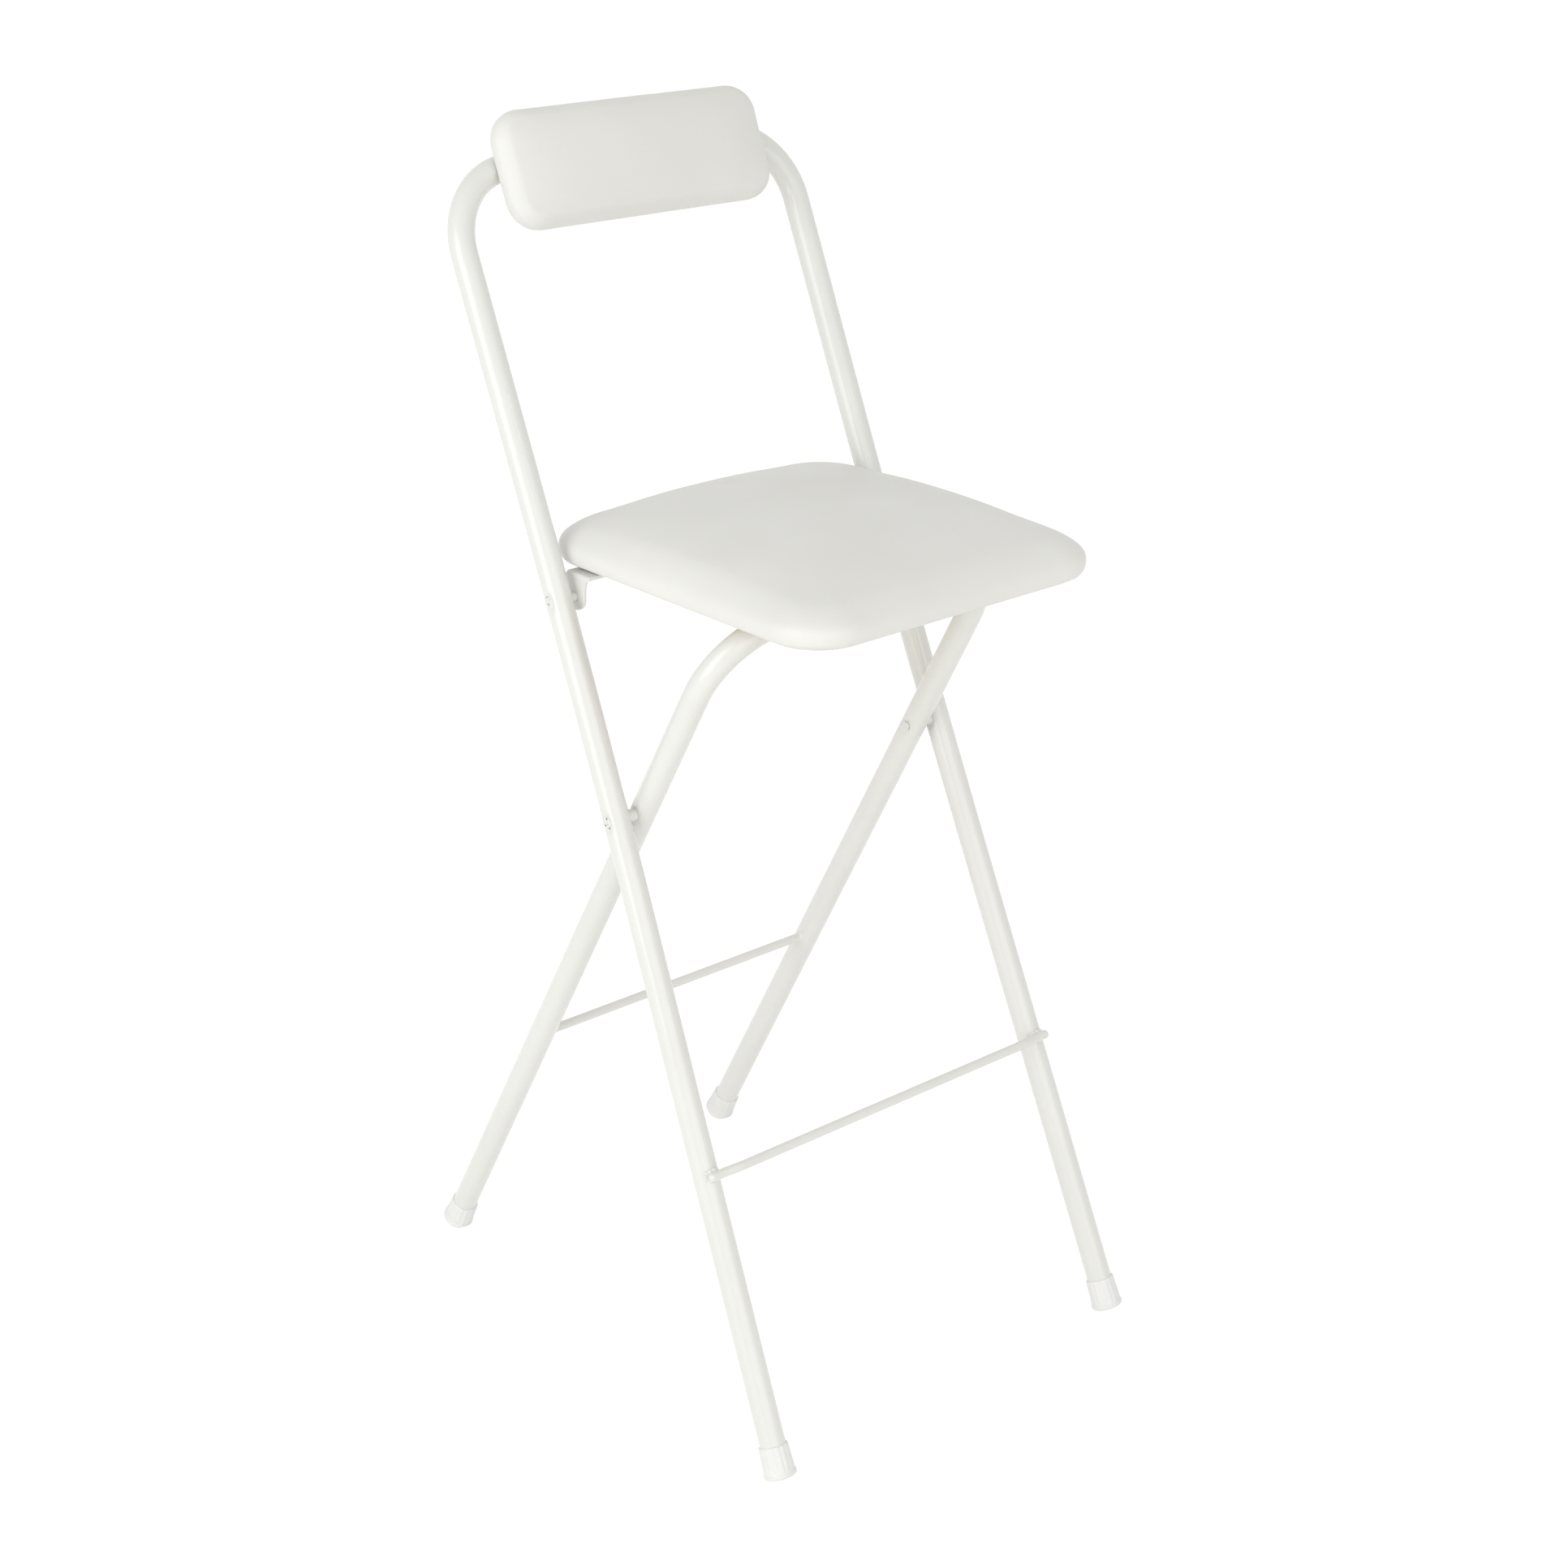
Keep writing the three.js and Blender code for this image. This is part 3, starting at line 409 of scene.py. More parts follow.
def leaning_place(points, rise_at_scissor, lean):
    """Points as x across, y square to a leaning plane and z up it, put in the stool: y and z turn
    by the lean about the scissor pivot, which lies at the given height along the plane."""
    x, y, z = apart(points)
    z = z - rise_at_scissor
    s, c = math.sin(lean), math.cos(lean)
    return xyz(x, scissor[1] + y * c + z * s, scissor[2] - y * s + z * c)


def front_place(points):
    """Puts points of the front frame's plane, whose heights start at the floor, in the stool."""
    return leaning_place(points, scissor_rise, front_lean)


def rear_place(points):
    """Puts points of the rear frame's plane, whose heights start at the scissor, in the stool."""
    return leaning_place(points, 0, -rear_lean)


print("front lean", round(math.degrees(front_lean), 2), "rear lean", round(math.degrees(rear_lean), 2))

# %% [markdown]
# A bent tube is a circle carried along a line. The line is laid out as its corner points and a
# bend at each, and is measured by its own length, so that rings can be placed close together
# where the tube bends or is pressed flat for a rivet, and far apart where it runs straight.

# %% The line of a bent tube
STRAIGHT_STEP = 14 * MM
BEND_STEP = 3.5 * MM
CLOSE_STEP = 1.2 * MM
CLOSE_REACH = 13 * MM


def bent_line(corners, reaches):
    """A fine polyline: straight runs, and at each inner corner a cubic curve that takes `reach` of
    tube on each side. A cubic with handles of 4/3 tan(turn/4) radii is a circle to the eye."""
    stretches = [corners[:1]]
    t = np.linspace(0, 1, 240)[:, None]
    for corner, reach, before, after in zip(corners[1:-1], reaches, corners[:-2], corners[2:]):
        inward = (corner - before) / np.linalg.norm(corner - before)
        outward = (after - corner) / np.linalg.norm(after - corner)
        turn = math.acos(np.clip(inward @ outward, -1, 1))
        handle = reach / math.tan(turn / 2) * math.tan(turn / 4) * 4 / 3
        start, end = corner - inward * reach, corner + outward * reach
        stretches.append(
            start * (1 - t) ** 3 + 3 * (start + inward * handle) * t * (1 - t) ** 2
            + 3 * (end - outward * handle) * t ** 2 * (1 - t) + end * t ** 3
        )
    return np.concatenate([*stretches, corners[-1:]])


def both_sides(points, shared=0):
    """A path through points, then back through their mirror images, less those on the middle."""
    points = np.array(points, float)
    return np.concatenate([points, points[::-1][shared:] * (-1, 1, 1)])


def run_along(line):
    """Length run at each point of a polyline."""
    return np.concatenate([[0], np.cumsum(np.linalg.norm(np.diff(line, axis=0), axis=1))])


def at_length(line, lengths):
    """Points of a polyline at these lengths along it."""
    run = run_along(line)
    return xyz(*(np.interp(lengths, run, line[:, k]) for k in range(3)))


def stations(line, close_ups=(), bend_step=BEND_STEP):
    """Lengths at which to place rings: at the straight step all along, closer in bends, and
    closest near each close-up point."""
    run = run_along(line)
    bends = run[1:-1]
    kept = [np.arange(0, run[-1], STRAIGHT_STEP), [run[-1]]]
    kept.append(bends[np.unique((bends / bend_step).astype(int), return_index=True)[1]])
    fine = np.linspace(0, run[-1], 20000)
    for point in close_ups:
        middle = fine[np.argmin(np.linalg.norm(at_length(line, fine) - point, axis=1))]
        kept.append(np.arange(middle - CLOSE_REACH, middle + CLOSE_REACH, CLOSE_STEP))
    chosen = np.unique(np.concatenate(kept).round(5))
    return chosen[np.concatenate([[True], np.diff(chosen) > CLOSE_STEP / 2])]


def tube_rings(line, lengths, radii, sides, across=(0, 1, 0)):
    """Rings round a line that lies in a plane: one axis of each ring is the plane's normal, the
    other lies in the plane, square to the line. Point = middle + r (sin a across + cos a side)."""
    step = 0.5 * MM
    tangent = at_length(line, lengths + step) - at_length(line, lengths - step)
    tangent /= np.linalg.norm(tangent, axis=1)[:, None]
    side = np.cross(tangent, across)[:, None]
    angle = circle_angles(sides)[:, None]
    circle = np.sin(angle) * np.array(across) + np.cos(angle) * side
    radii = np.broadcast_to(radii, lengths.shape)[:, None, None]
    return at_length(line, lengths)[:, None] + radii * circle


print("tube helpers ready")

# %% [markdown]
# Where a rivet goes through, the press flattens the tube a little, so that the head and the
# sleeve bear on a small flat. The surface there is simply not let past a plane: a point further
# out than the flat is pulled back to it, and the limit relaxes smoothly away from the rivet.

# %% Flats pressed into a tube
TUBE_RADIUS = 11 * MM
TUBE_SIDES = 48
FLAT_DEPTH = 1.6 * MM
FLAT_RADIUS = 6 * MM
FLAT_FADE = 6 * MM
FLAT_HALF = TUBE_RADIUS - FLAT_DEPTH


def soft_step(t):
    """3 t^2 - 2 t^3: from 0 to 1 without a kink at either end."""
    return 3 * t ** 2 - 2 * t ** 3


def press_flats(rings, axis_x, rise):
    """Limits |x - axis| near height `rise` to the flat's plane, on both sides of the tube whose
    axis is at +axis_x or -axis_x there. The limit eases off by a soft step away from the flat."""
    x, y, z = apart(rings)
    t = np.clip((np.hypot(y, z - rise) - FLAT_RADIUS) / FLAT_FADE, 0, 1)
    limit = FLAT_HALF + FLAT_DEPTH * soft_step(t)
    centre = np.sign(x) * axis_x
    held = centre + np.clip(x - centre, -limit, limit)
    return xyz(np.where(np.abs(z - rise) < FLAT_RADIUS + FLAT_FADE, held, x), y, z)


def flattened_tube(line, flats):
    """A tube along a line, with flats pressed at each pair of axis and rise, left and right."""
    close_ups = [(sign * axis_x, 0, rise) for _, sign in SIDES for axis_x, rise in flats]
    rings = tube_rings(line, stations(line, close_ups), TUBE_RADIUS, TUBE_SIDES)
    for axis_x, rise in flats:
        rings = press_flats(rings, axis_x, rise)
    return rings


print("flat depth:", FLAT_DEPTH)

# %% [markdown]
# The front frame is one tube from foot to foot. Below the seat each leg bends outwards, so softly
# that the bend takes up a fifth of the leg, and at the top two tight bends turn it across the
# sitter's back.

# %% Front frame tube
FRONT_TOP_HALF = 174 * MM
FRONT_FOOT_HALF = 193 * MM
FRONT_TOP_RISE = 1084 * MM
FRONT_BEND = 64 * MM
SPLAY_RISE = 648 * MM
SPLAY_REACH = 210 * MM
FRONT_SOLE = 3.78 * MM
CAP_FLOOR = 4.5 * MM
FIT_GAP = 0.3 * MM
SPLAY_SLOPE = (FRONT_FOOT_HALF - FRONT_TOP_HALF) / SPLAY_RISE


def front_half_at(rise):
    """Distance of the leg's axis from the middle: straight, a parabola in the soft bend, upright."""
    if rise <= SPLAY_RISE - SPLAY_REACH:
        return FRONT_TOP_HALF + SPLAY_SLOPE * (SPLAY_RISE - rise)
    share = min((rise - SPLAY_RISE + SPLAY_REACH) / (2 * SPLAY_REACH), 1)
    return FRONT_TOP_HALF + SPLAY_SLOPE * SPLAY_REACH * (1 - share) ** 2


front_end = FRONT_SOLE + CAP_FLOOR + FIT_GAP
front_line = bent_line(
    both_sides([
        (front_half_at(front_end), 0, front_end),
        (FRONT_TOP_HALF, 0, SPLAY_RISE),
        (FRONT_TOP_HALF, 0, FRONT_TOP_RISE),
    ]),
    [SPLAY_REACH, FRONT_BEND, FRONT_BEND, SPLAY_REACH],
)
flats = [(front_half_at(rise), rise) for rise in (scissor_rise, hinge_rise)]
rings = front_place(flattened_tube(front_line, flats))
add_piece("front_tube_painted", rings, "front_frame", "frame_paint", "front_frame_tube")

# %% [markdown]
# The rear frame is the same tube, bent twice, and stands inside the front one. Its legs close in
# by one degree towards the seat, which rests on its top bar.

# %% Rear frame tube
REAR_SPLAY = math.radians(1)
REAR_BEND_RADIUS = 68 * MM
SCISSOR_GAP = 5.4 * MM
REAR_SOLE = 5.44 * MM
rear_half = front_half_at(scissor_rise) - 2 * TUBE_RADIUS - SCISSOR_GAP
rear_top = (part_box("rear_frame_tube")[1][2] - TUBE_RADIUS - scissor[2]) / math.cos(rear_lean)
rear_sole = REAR_SOLE - scissor[2] / math.cos(rear_lean)
rear_end = rear_sole + CAP_FLOOR + FIT_GAP


def rear_half_at(reach):
    """Distance of the leg's axis from the middle."""
    return rear_half - reach * math.tan(REAR_SPLAY)


rear_reach = REAR_BEND_RADIUS * math.tan((math.pi / 2 - REAR_SPLAY) / 2)
rear_line = bent_line(
    both_sides([(rear_half_at(rear_end), 0, rear_end), (rear_half_at(rear_top), 0, rear_top)]),
    [rear_reach, rear_reach],
)
rings = rear_place(flattened_tube(rear_line, [(rear_half, 0)]))
add_piece("rear_tube_painted", rings, "rear_frame", "frame_paint", "rear_frame_tube")

# %% [markdown]
# The foot bar is a solid rod in front of the legs. Its ends are eased back until they lie on the
# tubes, and are cut and a little rounded. Two weld beads hold each end, in the corners between
# rod and tube. A bead is a short spindle with ripples, because it was laid drop by drop, and it
# follows the round of the tube, so it bends away backwards at both ends.

# %% Foot bar
BAR_RADIUS = 4 * MM
BAR_SIDES = 32
BAR_EDGE = 3 * MM
BAR_OVERLAP = 7.5 * MM
BAR_EASE = 3 * MM
BAR_BENDS = (8 * MM, 23 * MM)
BAR_BEND_REACH = 5 * MM
FOOT_BAR_RISE = 258 * MM
foot_bar_x = front_half_at(FOOT_BAR_RISE)
foot_bar_y = -(TUBE_RADIUS + FIT_GAP + BAR_RADIUS)
foot_bar_line = bent_line(
    both_sides([
        (foot_bar_x + BAR_OVERLAP, foot_bar_y, FOOT_BAR_RISE),
        (foot_bar_x - BAR_BENDS[0], foot_bar_y, FOOT_BAR_RISE),
        (foot_bar_x - BAR_BENDS[1], foot_bar_y - BAR_EASE, FOOT_BAR_RISE),
    ]),
    [BAR_BEND_REACH] * 4,
)


def rounded_ends(run, full, edge):
    """Half width with round ends: full - e + sqrt(e^2 - (e - d)^2), where d is the way to the end."""
    short = np.maximum(edge - np.minimum(run, run[-1] - run), 0)
    return full - edge + np.sqrt(np.maximum(edge ** 2 - short ** 2, 0))


run = stations(foot_bar_line, bend_step=1.5 * MM)
turn = BAR_EDGE * (1 - np.cos(np.linspace(0, np.pi / 2, 6)))
inner = run[(run > BAR_EDGE * 1.2) & (run < run[-1] - BAR_EDGE * 1.2)]
run = np.concatenate([turn, inner, run[-1] - turn[::-1]])
rings = tube_rings(foot_bar_line, run, rounded_ends(run, BAR_RADIUS, BAR_EDGE), BAR_SIDES, (0, 0, 1))
add_piece("foot_bar_painted", front_place(rings), "front_frame", "frame_paint", "front_foot_bar")

# %% Weld beads of the foot bar
BEAD_HALF = 7.5 * MM
BEAD_RADII = {1: 2.7 * MM, -1: 1.8 * MM}
BEAD_RISE = 3.5 * MM
BEAD_STAND_OFF = 0.7 * MM
BEAD_RIPPLES = 4
RIPPLE_SHARE = 0.12


def weld_bead(axis_x, up, phase):
    """A spindle along X in the corner over or under the rod: radius R (1 - t^2)^(1/2), times one
    plus a small sine for the ripples; its middle stays one tube radius from the leg's axis."""
    t = np.linspace(-1, 1, 61)[1:-1, None]
    angle = circle_angles(20)
    ripple = 1 + RIPPLE_SHARE * np.sin(BEAD_RIPPLES * np.pi * t + phase)
    radius = BEAD_RADII[up] * np.sqrt(1 - t ** 2) * ripple
    y = -np.sqrt((TUBE_RADIUS + BEAD_STAND_OFF) ** 2 - (BEAD_HALF * t) ** 2) + radius * np.cos(angle)
    z = FOOT_BAR_RISE + up * BEAD_RISE + radius * np.sin(angle)
    return front_place(xyz(axis_x + BEAD_HALF * t, y, z))


beads = [weld_bead(sign * foot_bar_x, up, sign + 2 * up) for _, sign in SIDES for up in (-1, 1)]
add_piece("foot_bar_welds", beads, "front_frame", "frame_paint")

# %% [markdown]
# The rear stretcher is a straight rod whose ends are coped onto the inner sides of the rear legs.
# Its rings are not flat discs near the legs: each point is placed by its distance from the tube's
# surface, so the rod's end fits the tube, and a small skirt of weld flares out there.

# %% Rear stretcher
STRETCHER_DROP = 296 * MM
SKIRT_WIDTH = 1.5 * MM
SKIRT_REACH = 2.6 * MM
COPE_FADE = 8 * MM
stretcher_half = rear_half_at(-STRETCHER_DROP)


def stretcher_rings():
    """Half the rod by distance d from the tube, x = half - d - cover(y), then its mirror image.
    The cover runs from the tube's own round at d = 0 to a flat disc further in, as e^(-d/fade).
    Radius = R + skirt (1 - d/reach)^2, rippled by a small sine round the rod."""
    straight = np.linspace(12 * MM, stretcher_half - TUBE_RADIUS, 9)
    d = np.concatenate([np.linspace(-0.6, 3, 12) * MM, np.linspace(4, 10, 4) * MM, straight])[:, None]
    angle = circle_angles(BAR_SIDES)
    skirt = np.clip(1 - np.maximum(d, 0) / SKIRT_REACH, 0, 1) ** 2
    ripple = 1 + RIPPLE_SHARE * np.sin(5 * angle + 1) + 0.08 * np.sin(9 * angle)
    radius = BAR_RADIUS + SKIRT_WIDTH * skirt * ripple
    y, z = radius * np.cos(angle), radius * np.sin(angle) - STRETCHER_DROP
    bend = np.sqrt(TUBE_RADIUS ** 2 - y ** 2) - TUBE_RADIUS
    x = stretcher_half - d - TUBE_RADIUS - bend * np.exp(-np.maximum(d, 0) / COPE_FADE)
    return both_sides(xyz(x, y, z), 1)


rings = rear_place(stretcher_rings())
add_piece("rear_stretcher_painted", rings, "rear_frame", "frame_paint", "rear_stretcher_bar")

# %% [markdown]
# A foot cap is a moulded cup with fine upright ribs, pushed over the tube's end. It is turned
# from an outline of radius and height, and narrow grooves between the ribs lessen the radius, but
# only on the plain part of its wall. The floor wears a flat on its edge: no point is let below
# height zero.

# %% Foot caps
CAP_RADIUS = 14 * MM
CAP_LOW = 13.4 * MM
CAP_HIGH = 12.5 * MM
CAP_TAPER = CAP_LOW - CAP_HIGH
CAP_LENGTH = 27 * MM
CAP_EDGE = 2 * MM
CAP_ROUND = 1.2 * MM
LIP_TOP = 3.4 * MM
LIP_ROUND = 0.5 * MM
GROOVES_FROM = 4.6 * MM
RIB_COUNT = 16
RIB_DEPTH = 0.45 * MM
POINTS_PER_RIB = 14
WALL_HEIGHTS = (4.4, 4.8, 5.3, 6, 7, 12, 17, 22, 24, 24.8, 25.2, 25.6)
WALL_SPAN = 22


def quarter(centre_r, centre_h, radius, start, end, steps):
    """Points of an arc in the outline's plane, from one angle to another in degrees."""
    a = np.radians(np.linspace(start, end, steps))
    return np.stack([centre_r + radius * np.cos(a), centre_h + radius * np.sin(a)], -1)


cap_outline = np.concatenate([
    [(3 * MM, 0), (8 * MM, 0)],
    quarter(CAP_RADIUS - CAP_EDGE, CAP_EDGE, CAP_EDGE, -90, 0, 8),
    quarter(CAP_RADIUS - LIP_ROUND, LIP_TOP, LIP_ROUND, 0, 75, 4),
    [(CAP_LOW - CAP_TAPER * (h - WALL_HEIGHTS[0]) / WALL_SPAN, h * MM) for h in WALL_HEIGHTS],
    quarter(CAP_HIGH - CAP_ROUND, CAP_LENGTH - CAP_ROUND, CAP_ROUND, 5, 90, 6),
    [(TUBE_RADIUS + 0.05 * MM, CAP_LENGTH + 0.1 * MM), (TUBE_RADIUS + FIT_GAP, CAP_LENGTH - MM)],
    [(TUBE_RADIUS + FIT_GAP, CAP_FLOOR), (4 * MM, CAP_FLOOR)],
])


def turned(outline, angle, radius=None):
    """Pairs of radius and height turned about the height's axis, or with another radius."""
    r, h = outline[:, :1] if radius is None else radius, outline[:, 1:]
    return xyz(r * np.cos(angle), r * np.sin(angle), h)


def foot_cap(place, origin_x, rise, splay):
    """The outline turned about Z, less narrow grooves: r - depth ((1 - cos(N a)) / 2)^3, faded in
    over a millimetre of height; then tilted by the leg's splay and put on the end of its leg."""
    r, h = cap_outline[:, :1], cap_outline[:, 1:]
    angle = circle_angles(RIB_COUNT * POINTS_PER_RIB)
    plain = np.clip((h - GROOVES_FROM) / MM, 0, 1) * (r > TUBE_RADIUS + 0.9 * MM)
    r = r - RIB_DEPTH * plain * ((1 - np.cos(RIB_COUNT * angle)) / 2) ** 3
    x, y, z = apart(turned(cap_outline, angle, r))
    s, c = math.sin(splay), math.cos(splay)
    points = place(xyz(origin_x + x * c + z * s, y, rise - x * s + z * c))
    points[..., 2] = np.maximum(points[..., 2], 0)
    return points


for side, sign in SIDES:
    for end, place, half, rise, splay in (
        ("front", front_place, front_half_at(FRONT_SOLE), FRONT_SOLE, math.atan(SPLAY_SLOPE)),
        ("rear", rear_place, rear_half_at(rear_sole), rear_sole, REAR_SPLAY),
    ):
        add_piece(
            f"{end}_cap_{side}_ribbed", foot_cap(place, sign * half, rise, -sign * splay),
            f"{end}_frame", "cap_plastic", f"{end}_foot_cap_{side}", sharp=50,
        )

# %% [markdown]
# A rivet is turned about the X axis: a low dome with a small dimple where the tool pressed it, a
# shank, and a flat tail inside. The sleeve between the moving parts is a short thick washer. Both
# sit on the flats of the tube.

# %% Rivets and sleeves
RIVET_HEAD = 5.5 * MM
RIVET_RIM = 0.5 * MM
RIVET_DOME = 0.9 * MM
RIVET_SHANK = 3 * MM
TAIL_RADIUS = 4.5 * MM
TAIL_ROUND = 0.5 * MM
TAIL_THICKNESS = 1.4 * MM
SLEEVE_EDGE = 0.4 * MM
TURNED_SIDES = 40
EAR_GAP = 4 * MM
EAR_THICKNESS = 2.8 * MM
ear_outer = front_half_at(hinge_rise) - TUBE_RADIUS - EAR_GAP


def on_x_axis(outline, sign, rise):
    """An outline turned about the X axis at this rise, its height outwards on the given side."""
    y, z, x = apart(turned(outline, circle_angles(TURNED_SIDES)))
    return front_place(xyz(sign * x, y, rise + z))


def rivet_outline(face, tail_face):
    """From the dimple over the dome h = rim + d sqrt(1 - r^2), down the shank, round the tail."""
    a = np.linspace(0.3, np.pi / 2, 12)
    dome = np.stack([RIVET_HEAD * np.sin(a), face + RIVET_RIM + RIVET_DOME * np.cos(a)], -1)
    tail_r = TAIL_RADIUS - TAIL_ROUND
    return np.concatenate([
        [(0.5 * MM, dome[0, 1] - 0.15 * MM), (1.1 * MM, dome[0, 1] - 0.13 * MM)],
        dome,
        [(RIVET_HEAD, face - 0.1 * MM), (RIVET_SHANK, face - 0.1 * MM), (RIVET_SHANK, tail_face)],
        quarter(tail_r, tail_face - TAIL_ROUND, TAIL_ROUND, 90, 0, 4),
        quarter(tail_r, tail_face - TAIL_THICKNESS + TAIL_ROUND, TAIL_ROUND, 0, -90, 4),
        [(1 * MM, tail_face - TAIL_THICKNESS)],
    ])


def sleeve_outline(radius, inner, outer):
    """A plain cylinder with chamfered ends, from one height to the other."""
    return np.array([
        (RIVET_SHANK, inner), (radius - SLEEVE_EDGE, inner), (radius, inner + SLEEVE_EDGE),
        (radius, outer - SLEEVE_EDGE), (radius - SLEEVE_EDGE, outer), (RIVET_SHANK, outer),
    ])


# For each joint: rise, the tail's face, the sleeve's inner end and its radius.
RIVETS = {
    "scissor": (scissor_rise, rear_half - FLAT_HALF, rear_half + FLAT_HALF, 5.2 * MM),
    "seat": (hinge_rise, ear_outer - EAR_THICKNESS, ear_outer, 4.4 * MM),
}
for joint_name, (rise, tail_face, sleeve_inner, sleeve_radius) in RIVETS.items():
    flat_x = front_half_at(rise)
    rivet = rivet_outline(flat_x + FLAT_HALF, tail_face)
    sleeve = sleeve_outline(sleeve_radius, sleeve_inner, flat_x - FLAT_HALF)
    for side, sign in SIDES:
        for outline, slot, name, node in (
            (rivet, "rivet_paint", f"{joint_name}_rivet_{side}_formed", f"{joint_name}_rivet_{side}"),
            (sleeve, "frame_paint", f"{joint_name}_sleeve_{side}", f"{joint_name}_spacer_{side}"),
        ):
            add_piece(name, on_x_axis(outline, sign, rise), "front_frame", slot, node, sharp=40)

# %% [markdown]
# Pressed steel is a strip carried along a bent path. The strip's section is a rectangle with
# small round edges, and its width may change along the path, which gives a flange its round
# corners and an ear its round tip. The hinge bar and the hooks are made by the same helper.

# %% A strip of pressed steel
def strip(path, across, low, high, thickness, edge):
    """Rings of a flat strip: the middle of the sheet is path + w across, for w from low to high,
    and it is thick along tangent x across. Each corner of the section is a quarter circle of
    radius `edge`, less where the strip is narrower than two of them."""
    normal = np.cross(np.gradient(path, axis=0), across)
    normal = (normal / np.linalg.norm(normal, axis=1)[:, None])[:, None]
    low, high, half = low[:, None], high[:, None], thickness / 2
    corner = np.minimum(edge, (high - low) / 2)
    right, left = high - corner, low + corner
    w, n = [], []
    for k, (near, far, up) in enumerate(
        ((right, left, 1), (left, right, 1), (left, right, -1), (right, left, -1)),
    ):
        a = np.radians(np.linspace(0, 90, 5)) + k * np.pi / 2
        w.append(near + corner * np.cos(a))
        n.append(up * (half - corner) + corner * np.sin(a))
        if k % 2 == 0:
            w.append(near + (far - near) * np.array([0.3, 0.7]))
            n.append(0 * w[-1] + up * half)
    w, n = (np.concatenate(columns, 1)[..., None] for columns in (w, n))
    return path[:, None] + w * np.array(across) + n * normal


print("strip helper ready")

# %% [markdown]
# The hinge bar is such a strip under the seat, 30 mm wide, with both ends bent down. Its ears
# taper from the strip to a round tip about the hinge pin: each edge of the ear is a curve with
# one handle point, read off as a width for each height.

# %% Hinge bar
EAR_TIP = 10.5 * MM
EAR_TIP_AHEAD = 2.5 * MM
BAR_WIDTH_HALF = 15 * MM
BAR_AHEAD = 4.5 * MM
NECK_ROUND = 7 * MM
HINGE_BEND = 3.1 * MM
BAR_STRIP_EDGE = 0.8 * MM
board_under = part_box("seat_board")[0][2]
bar_top = board_under - hinge[2] - FIT_GAP
neck_top = bar_top - EAR_THICKNESS


def ear_edge(heights, side, neck_round):
    """Front (-1) or rear (1) edge of the bar's outline at these heights above the hinge axis: round
    about the pin, and above it a curve (1-t)^2 start + 2 t (1-t) handle + t^2 end."""
    t = np.linspace(0, 1, 40)
    start, end = side * EAR_TIP - EAR_TIP_AHEAD, side * BAR_WIDTH_HALF - BAR_AHEAD
    curve_y = (1 - t) ** 2 * start + 2 * t * (1 - t) * start + t ** 2 * end
    curve_z = 2 * t * (1 - t) * (neck_top - neck_round) + t ** 2 * neck_top
    tip = np.sqrt(np.maximum(EAR_TIP ** 2 - np.minimum(heights, 0) ** 2, 0))
    return np.where(heights < 0, side * tip - EAR_TIP_AHEAD, np.interp(heights, curve_z, curve_y))


def hinge_bar_rings():
    """The sheet's middle line: up the ear, round a bend, half way across; then its mirror image."""
    half = EAR_THICKNESS / 2
    tip = EAR_TIP * -np.cos(np.linspace(0.05, np.pi / 2, 16))
    centre_x, centre_z = HINGE_BEND - ear_outer, bar_top - HINGE_BEND
    a = np.radians(np.linspace(180, 90, 9))
    path = both_sides(np.concatenate([
        xyz(half - ear_outer, 0, np.concatenate([tip, np.linspace(0, centre_z, 14)[1:-1]])),
        xyz(centre_x + (HINGE_BEND - half) * np.cos(a), 0, centre_z + (HINGE_BEND - half) * np.sin(a)),
        xyz(np.linspace(centre_x, 0, 12)[1:], 0, bar_top - half),
    ]), 1)
    front, rear = ear_edge(path[:, 2], -1, 0), ear_edge(path[:, 2], 1, NECK_ROUND)
    return strip(path, (0, 1, 0), front, rear, EAR_THICKNESS, BAR_STRIP_EDGE) + (0, *hinge[1:])


add_piece("hinge_bar_painted", hinge_bar_rings(), "seat", "frame_paint", "seat_hinge_bar", sharp=35)

# %% [markdown]
# Two hooks under the seat reach down in front of the rear frame's top bar, so that the stool
# can't close while someone sits on it. Each is a strip too: a flange under the board, a bend, a
# web, and a lip that follows the round of the bar.

# %% Catch hooks
HOOK_SPACING = 120 * MM
HOOK_HALF = 15 * MM
HOOK_THICKNESS = 2 * MM
HOOK_FLANGE = 18 * MM
HOOK_BEND = 2.6 * MM
HOOK_ROUND = 4 * MM
HOOK_EDGE = 0.5 * MM
top_bar_y, top_bar_z = rear_place((0, 0, rear_top))[1:]


def hook_rings(x):
    """The sheet's middle line in the YZ plane, from the flange's end to the lip's end."""
    radius = TUBE_RADIUS + FIT_GAP + HOOK_THICKNESS / 2
    flange_z = board_under - FIT_GAP - HOOK_THICKNESS / 2 - top_bar_z
    flange = np.linspace(-radius - HOOK_THICKNESS / 2 - HOOK_FLANGE, -radius - HOOK_BEND, 24)
    bend, lip = np.radians(np.linspace(90, 0, 7))[1:], np.radians(np.linspace(180, 210, 12))
    bend_z = flange_z - HOOK_BEND
    path = np.concatenate([
        xyz(x, flange, flange_z),
        xyz(x, HOOK_BEND * np.cos(bend) - radius - HOOK_BEND, HOOK_BEND * np.sin(bend) + bend_z),
        xyz(x, -radius, np.linspace(bend_z, 0, 5)[1:-1]),
        xyz(x, radius * np.cos(lip), radius * np.sin(lip)),
    ]) + (0, top_bar_y, top_bar_z)
    half = rounded_ends(run_along(path), HOOK_HALF, HOOK_ROUND)
    return strip(path, (1, 0, 0), -half, half, HOOK_THICKNESS, HOOK_EDGE)


